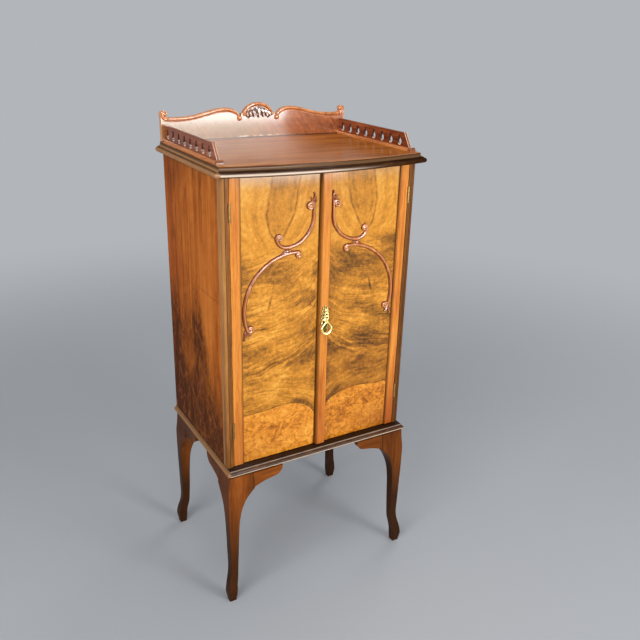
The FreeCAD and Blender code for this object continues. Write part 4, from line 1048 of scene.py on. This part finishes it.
class CABINET_OT_gallery(bpy.types.Operator):
    """Moulds the gallery's capping, arch and crest, and finishes its board, frets and rails"""

    bl_idname = "cabinet.gallery"
    bl_label = "Gallery"

    # Sections of the mouldings as (over, out) pairs, and the lines that the capping and the arch follow
    CAP_SECTION = (
        (-5.25, -12), (-5.25, 0.3), (-4.6, 0.9), (-3.9, 0.2), (-3.2, -1.2), (-2.3, -1.2), (-1.7, 0.6),
        (-0.6, 2.2), (1, 2.9), (2.8, 2.4), (4.2, 0.9), (5.1, -1.8), (5.4, -5.2), (5, -9), (3.7, -12),
    )
    CAP_PATH = (
        ((49.5, 52.5), (52.75, 66.75), (72, 72), (85, 72)),
        ((85, 72), (125, 72), (145, 54), (205, 54)),
        ((205, 54), (226, 54), (239, 55), (240.2, 66)),
    )
    CAP_HALF_WIDTH = 5.25
    CAP_GRAIN = 0.75 * MM
    ARCH_SECTION = (
        (-5, -12), (-5, 0.4), (-4.3, 1), (-3.6, 0.2), (-2.9, -1.2), (-2, -1.2), (-1.4, 0.8),
        (-0.4, 2.4), (1.2, 3.1), (3, 2.6), (4.3, 1), (5, -1.4), (5.1, -5), (4.6, -9), (3.6, -12),
    )
    ARCH_CENTRE = (0, 1081.9)
    ARCH_RADIUS = 46.1
    ARCH_GRAIN = 0.65 * MM

    # Leaves of the crest, from the middle outwards: places across of root and tip, then their heights
    LEAVES = (
        (0, 0, 1119.5, 1096.5),
        (8.5, 12, 1118.5, 1098),
        (16.5, 22, 1116, 1099),
        (24, 30, 1112, 1100.5),
    )
    BERRIES = ((5, 1104, 2.4), (14.6, 1103.5, 2.4), (24.6, 1103.5, 2.2))

    def execute(self, context):
        far_behind = GALLERY_FACE + 30
        capping = carved("capping_wood", "cap", far_behind, 0.7, 1.6)
        crest = carved("crest_wood", "crest", GALLERY_FACE, 1, 1.8)
        face, body, slot = GALLERY_FACE, "carcase", "gallery_wood"
        for side, flip in SIDES.items():
            name, node = "moulded_capping_" + side, "gallery_moulding_" + side
            carve(self.cap, face, flip, name, self.CAP_GRAIN, 0.4, capping, body, node)
        carve(self.arch, face, 1, "moulded_arch", self.ARCH_GRAIN, 0.5, capping, body, "gallery_arch")
        grain = sizes().carving_grain
        carve(self.crest, face, 1, "carved_crest", grain, 0.6, crest, body, "gallery_crest")
        dress(gallery_board(), "gallery_back_board")
        for side in SIDES:
            fret, rail = "gallery_fret_" + side, "gallery_rail_" + side
            dress(fret_wood(fret), fret)
            dress(wood(rail + "_wood", "cap", "Y", 10, 0.6, 0.3, worn=rail, alter=self.rail_end), rail)
        return {"FINISHED"}

    def rail_end(self, f, base):
        """Darkens the front end of a rail."""
        return f.mix(f.y.step(-124, -136) * 0.7, base, tint("cap_dark"))

    def cap(self, carving):
        """The wavy capping of one side, from the ball beside the arch to the ear at the corner."""
        low = TOP_SURFACE - self.CAP_HALF_WIDTH
        path = []
        for poles in self.CAP_PATH:
            points = bezier_points([(across, low + up) for across, up in poles], 30)
            path += points[1:] if path else points
        ear, eye = curl(path[-1], path[-1] - path[-2], 1, 5.2, 1.1)
        whole = path + ear
        last = len(whole) - 1

        def section(share):
            end = min(share * last / 14, (1 - share) * last / (len(ear) * 1.4), 1)
            return [(over * (0.4 + 0.6 * end), out) for over, out in self.CAP_SECTION]

        carving.sweep(whole, section)
        carving.bead(path[0].x, path[0].y, 6.9, 7, 2)
        carving.bead(eye.x, eye.y, 3, 5.4, 3)
        carving.bead(232.5, 1099.4, 4.2, 3.4)

    def arch(self, carving):
        path = arc_points(self.ARCH_CENTRE, self.ARCH_RADIUS, 145.5, 34.5, 60)

        def section(share):
            end = min(share * 6, (1 - share) * 6, 1)
            return [(over * (0.55 + 0.45 * end), out) for over, out in self.ARCH_SECTION]

        carving.sweep(path, section)
        for flip in (-1, 1):
            carving.bead(flip * 36.6, 1106, 5, 5.4, 2)

    def crest(self, carving):
        """A garland of drooping leaves and berries under the arch, on a low backing that its finish paints
        dark as shade.
        """
        # A low dark backing behind the leaves: it paints the shade between them and the arch
        shadow_backing = arc_points(self.ARCH_CENTRE, 33, 152, 28, 30)
        carving.rib(shadow_backing, lambda share: 5 + 3.4 * math.sin(math.pi * share), lambda share: 1.1)
        for flip in (-1, 1):
            for root, tip, top, foot in self.LEAVES[0 if flip == 1 else 1:]:
                deep = top - foot
                upper = ((root, top), (root + 2, top - deep * 0.2))
                lower = ((tip + 1, foot + deep * 0.4), (tip, foot))
                carving.leaf([(flip * across, up) for across, up in upper + lower], 5, 6, 0.15)
            for across, up, radius in self.BERRIES:
                carving.bead(flip * across, up, radius, radius * 2)


class CABINET_OT_handle(bpy.types.Operator):
    """Casts the handle's leafy backplate, with its eye, and the drop that hangs in it"""

    bl_idname = "cabinet.handle"
    bl_label = "Handle"

    CENTRE = 6.5
    EYE = Vector((CENTRE, -163, 686))
    EYE_RADIUS = 3.4

    # Backplate: where its leaves leave the stem, their reach and lift, and the two curves of its frame
    LEAVES = ((688, 9, 6), (696, 8.2, 7), (704, 7, 7), (711, 5.4, 7))
    FRAME = (
        (((1, 690), (12, 688), (8, 676), (5.5, 668)), 24),
        (((5.5, 668), (7.5, 660), (4, 655.5), (0, 654)), 18),
    )

    # Drop: height and radius of its upper and lower round, and its own lowest and highest point
    ROUNDS = ((681.8, 4.2), (668.8, 12.4))
    SPAN = (654.7, 687.7)

    def execute(self, context):
        metal = brass("handle_brass", "brass", self.painted_recess_shade)
        grain = sizes().casting_grain
        for shape, face, name, body, node in (
            (self.backplate, STRIP_FACE, "cast_backplate", "right_door", "handle_backplate"),
            (self.drop, self.EYE.y, "cast_drop", "handle_drop", "handle_drop"),
        ):
            carve(shape, face, 1, name, grain, 0.5, metal, body, node)
        return {"FINISHED"}

    def painted_recess_shade(self, f, base):
        """Blackens the low plate behind the leaves and the drop, as painted shade."""
        low = f.y.step(STRIP_FACE - 2.4, STRIP_FACE - 1.4)
        return f.mix(low * 0.9, base, tint("brass_dark"))

    def about(self, flip, *poles):
        """Poles (across, up) counted from the handle's middle, mirrored for -1."""
        return [(self.CENTRE + flip * across, up) for across, up in poles]

    def backplate(self, carving):
        stem = [Vector((self.CENTRE, up)) for up in range(690, 723, 2)]
        carving.rib(stem, lambda share: 2.4 - 1.2 * share, lambda share: 3 - 0.8 * share, 0)
        carving.leaf(self.about(1, (0, 711), (0, 716), (0, 720), (0, 724.5)), 2.6, 3)
        for flip in (-1, 1):
            for rise, reach, lift in self.LEAVES:
                poles = ((0, rise), (reach * 0.5, rise - 1.5), (reach, rise + 0.5), (reach, rise + lift))
                leaf = self.about(flip, *poles)
                carving.leaf(leaf, 2.1, 2.9)
                carving.bead(*leaf[-1], 1.5, 2.8)
            side, lower = (bezier_points(self.about(flip, *poles), count) for poles, count in self.FRAME)
            carving.rib(
                side + lower[1:],
                lambda share: 1.7 - 0.4 * share,
                lambda share: 2.6 - 0.6 * share,
                0,
            )
            carving.bead(self.CENTRE + flip * 7.6, 681, 2.2, 3.2)
        carving.bead(self.CENTRE, 655.4, 2.2, 2.8)
        self.scutcheon(carving)
        carving.bead(self.CENTRE, 687, 4.6, 3.6)
        ring = [self.EYE + Vector((0, deep, high)) * self.EYE_RADIUS for deep, high in spokes(28)]
        carving.wire(ring, lambda share: 1.05)
        neck = [self.EYE + Vector((0, reach, 0)) for reach in (3.6, 5.5, 7.5, 9.6)]
        carving.wire(neck, lambda share: 1.5 + 0.9 * share, False)

    def scutcheon(self, carving):
        """The flat plate round the keyhole, behind the drop, and the low ground of the leaves above; the
        handle's finish blackens it as painted shade.
        """
        carving.rib(
            [Vector((self.CENTRE, up)) for up in range(656, 721, 2)],
            lambda share: 1.5 + 6.5 * math.sin(math.pi * (0.12 + 0.88 * share)) ** 0.6,
            lambda share: 1.4,
            0,
        )

    def drop(self, carving):
        """A pear-shaped ring, thicker and leafed at the foot, on the CAD ring's own line."""
        (top, small), (foot, large) = self.ROUNDS
        lean = math.asin((large - small) / (top - foot))
        points = []
        for height, radius, start, end, count in (
            (top, small, lean, math.pi - lean, 18),
            (foot, large, math.pi - lean, 2 * math.pi + lean, 44),
        ):
            centre = Vector((self.CENTRE, self.EYE.y, height))
            for share in shares(count):
                angle = start + (end - start) * share
                points.append(centre + Vector((math.cos(angle), 0, math.sin(angle))) * radius)
        low, high = self.SPAN

        def thickness(share):
            spot = points[round(share * (len(points) - 1))]
            down = 1 - (spot.z - low) / (high - low)
            return 1.4 + min(1, down * 1.6) ** 1.3

        carving.wire(points, thickness)
        carving.bead(self.CENTRE, 656.4, 3, 2.8)
        for flip in (-1, 1):
            carving.bead(self.CENTRE + flip * 4.8, 657.3, 2.6, 2.6)
            carving.bead(self.CENTRE + flip * 12.6, 671.5, 2.6, 2.5)


class CABINET_OT_metalwork(bpy.types.Operator):
    """Finishes the hinges, lock, bolts and screws"""

    bl_idname = "cabinet.metalwork"
    bl_label = "Metalwork"

    def execute(self, context):
        dull = brass("hinge_brass", "hinge")
        for side in SIDES:
            dress(dull, "hinge_leaves_carcase_" + side)
            dress(dull, side + "_door_hinge_leaves", side + "_door_hinge_screws")
        dress(dull, "hinge_screws_carcase", "strike_plate", "bolt_plates", "top_bolt", "bottom_bolt")
        dress(dull, "lock_case", "lock_bolt", "hinge_pins")
        dress(steel(), "bearer_screws", "top_screws")
        return {"FINISHED"}


class CABINET_OT_studio(bpy.types.Operator):
    """Sets a plain pale floor, soft lamps and the camera"""

    bl_idname = "cabinet.studio"
    bl_label = "Studio"

    EYE = Vector((-779.6, -1466.3, 1305.2)) * MM
    YAW, PITCH, ROLL = (math.radians(angle) for angle in (30.5128, 22.0003, 1.6246))
    FOCAL = 726.232
    IMAGE = 640
    SKY = 0.6

    # Name, place, aim, width, height and power of each lamp
    LAMPS = (
        ("key_lamp", (-2.7, -1.7, 2.1), (0, 0, 0.75), 2.1, 2.1, 70),
        ("front_lamp", (1.25, -3, 1.05), (0, 0, 0.8), 1, 1.3, 58),
        ("top_lamp", (0.2, -0.6, 3), (0, 0, 1), 1.6, 1.6, 16),
        ("back_lamp", (2.6, 1.6, 2.4), (0, 0, 0.7), 1.4, 1.4, 20),
        ("glint_lamp", (-0.2, -3.2, 2.65), (0, 0, 0.8), 3, 1.5, 420),
    )

    def execute(self, context):
        scene = context.scene
        scene.view_settings.view_transform = "Standard"
        self.floor()
        self.world(scene)
        for name, place, aim, wide, tall, power in self.LAMPS:
            lamp = bpy.data.lights.new(name, "AREA")
            lamp.shape = "RECTANGLE"
            lamp.size, lamp.size_y = wide, tall
            lamp.energy = power
            holder = bpy.data.objects.new(name, lamp)
            holder.location = place
            holder.rotation_euler = (Vector(aim) - Vector(place)).to_track_quat("-Z", "Y").to_euler()
            holder.visible_diffuse = name != "glint_lamp"
            scene.collection.objects.link(holder)
        self.camera(scene)
        return {"FINISHED"}

    def floor(self):
        mesh = bpy.data.meshes.new("studio_floor")
        grid = bmesh.new()
        bmesh.ops.create_grid(grid, x_segments=4, y_segments=4, size=sizes().floor_reach)
        grid.to_mesh(mesh)
        grid.free()
        floor = bpy.data.objects.new("studio_floor", mesh)
        bpy.context.scene.collection.objects.link(floor)
        f = Finish("studio_paper", 0)
        shade = f.noise(400)
        pale = tint("studio")
        base = f.mix((shade - 0.5) * 0.12, pale, tuple(value * 0.8 for value in pale))
        paper = f.paint(base, vary(0.75, (shade, 0.1)))
        far = (f.x * f.x + f.y * f.y).sqrt().step(900, 3200)
        glow = f.node("ShaderNodeEmission", {}, {"Color": (*pale, 1), "Strength": 1})
        plain = Shade(f, f.shader.outputs[0])
        blend = f.node("ShaderNodeMixShader", {}, {0: far * f.seen(), 1: plain, 2: glow})
        f.tree.links.new(blend.socket, f.tree.nodes["Material Output"].inputs["Surface"])
        mesh.materials.append(paper)

    def world(self, scene):
        world = bpy.data.worlds.new("studio_world")
        world.use_nodes = True
        background = world.node_tree.nodes["Background"]
        background.inputs["Color"].default_value = (*tint("studio"), 1)
        sky = Nodes(world.node_tree)
        strength = self.SKY + (1 - self.SKY) * sky.seen()
        sky.tree.links.new(strength.socket, background.inputs["Strength"])
        scene.world = world

    def camera(self, scene):
        ahead, drop = math.cos(self.PITCH), math.sin(self.PITCH)
        forward = Vector((math.sin(self.YAW) * ahead, math.cos(self.YAW) * ahead, -drop))
        level = Vector((math.cos(self.YAW), -math.sin(self.YAW), 0))
        above = level.cross(forward)
        right = level * math.cos(self.ROLL) + above * math.sin(self.ROLL)
        upright = above * math.cos(self.ROLL) - level * math.sin(self.ROLL)
        lens = bpy.data.cameras.new("camera")
        lens.sensor_width = 36
        lens.lens = self.FOCAL / self.IMAGE * lens.sensor_width
        camera = bpy.data.objects.new("camera", lens)
        turned = Matrix((right, upright, -forward)).transposed()
        camera.matrix_world = Matrix.Translation(self.EYE) @ turned.to_4x4()
        scene.collection.objects.link(camera)
        scene.camera = camera


PIECES = (
    CABINET_OT_doors,
    CABINET_OT_carcase,
    CABINET_OT_inside,
    CABINET_OT_scrolls,
    CABINET_OT_gallery,
    CABINET_OT_handle,
    CABINET_OT_metalwork,
    CABINET_OT_studio,
)


class CABINET_PT_panel(bpy.types.Panel):
    """Lists the steps that dress the cabinet"""

    bl_idname = "CABINET_PT_panel"
    bl_label = "Music cabinet"
    bl_space_type = "VIEW_3D"
    bl_region_type = "UI"
    bl_category = "Cabinet"

    def draw(self, context):
        for piece in PIECES:
            self.layout.operator(piece.bl_idname)


CLASSES = (CabinetSizes, CabinetColours, *PIECES, CABINET_PT_panel)


def register():
    for each in CLASSES:
        bpy.utils.register_class(each)
    bpy.types.Scene.cabinet_sizes = bpy.props.PointerProperty(type=CabinetSizes)
    bpy.types.Scene.cabinet_colours = bpy.props.PointerProperty(type=CabinetColours)


def unregister():
    del bpy.types.Scene.cabinet_colours
    del bpy.types.Scene.cabinet_sizes
    for each in reversed(CLASSES):
        bpy.utils.unregister_class(each)


def main():
    register()
    bpy.ops.cabinet.doors()
    bpy.ops.cabinet.carcase()
    bpy.ops.cabinet.inside()
    bpy.ops.cabinet.scrolls()
    bpy.ops.cabinet.gallery()
    bpy.ops.cabinet.handle()
    bpy.ops.cabinet.metalwork()
    bpy.ops.cabinet.studio()


if __name__ == "__main__":
    main()
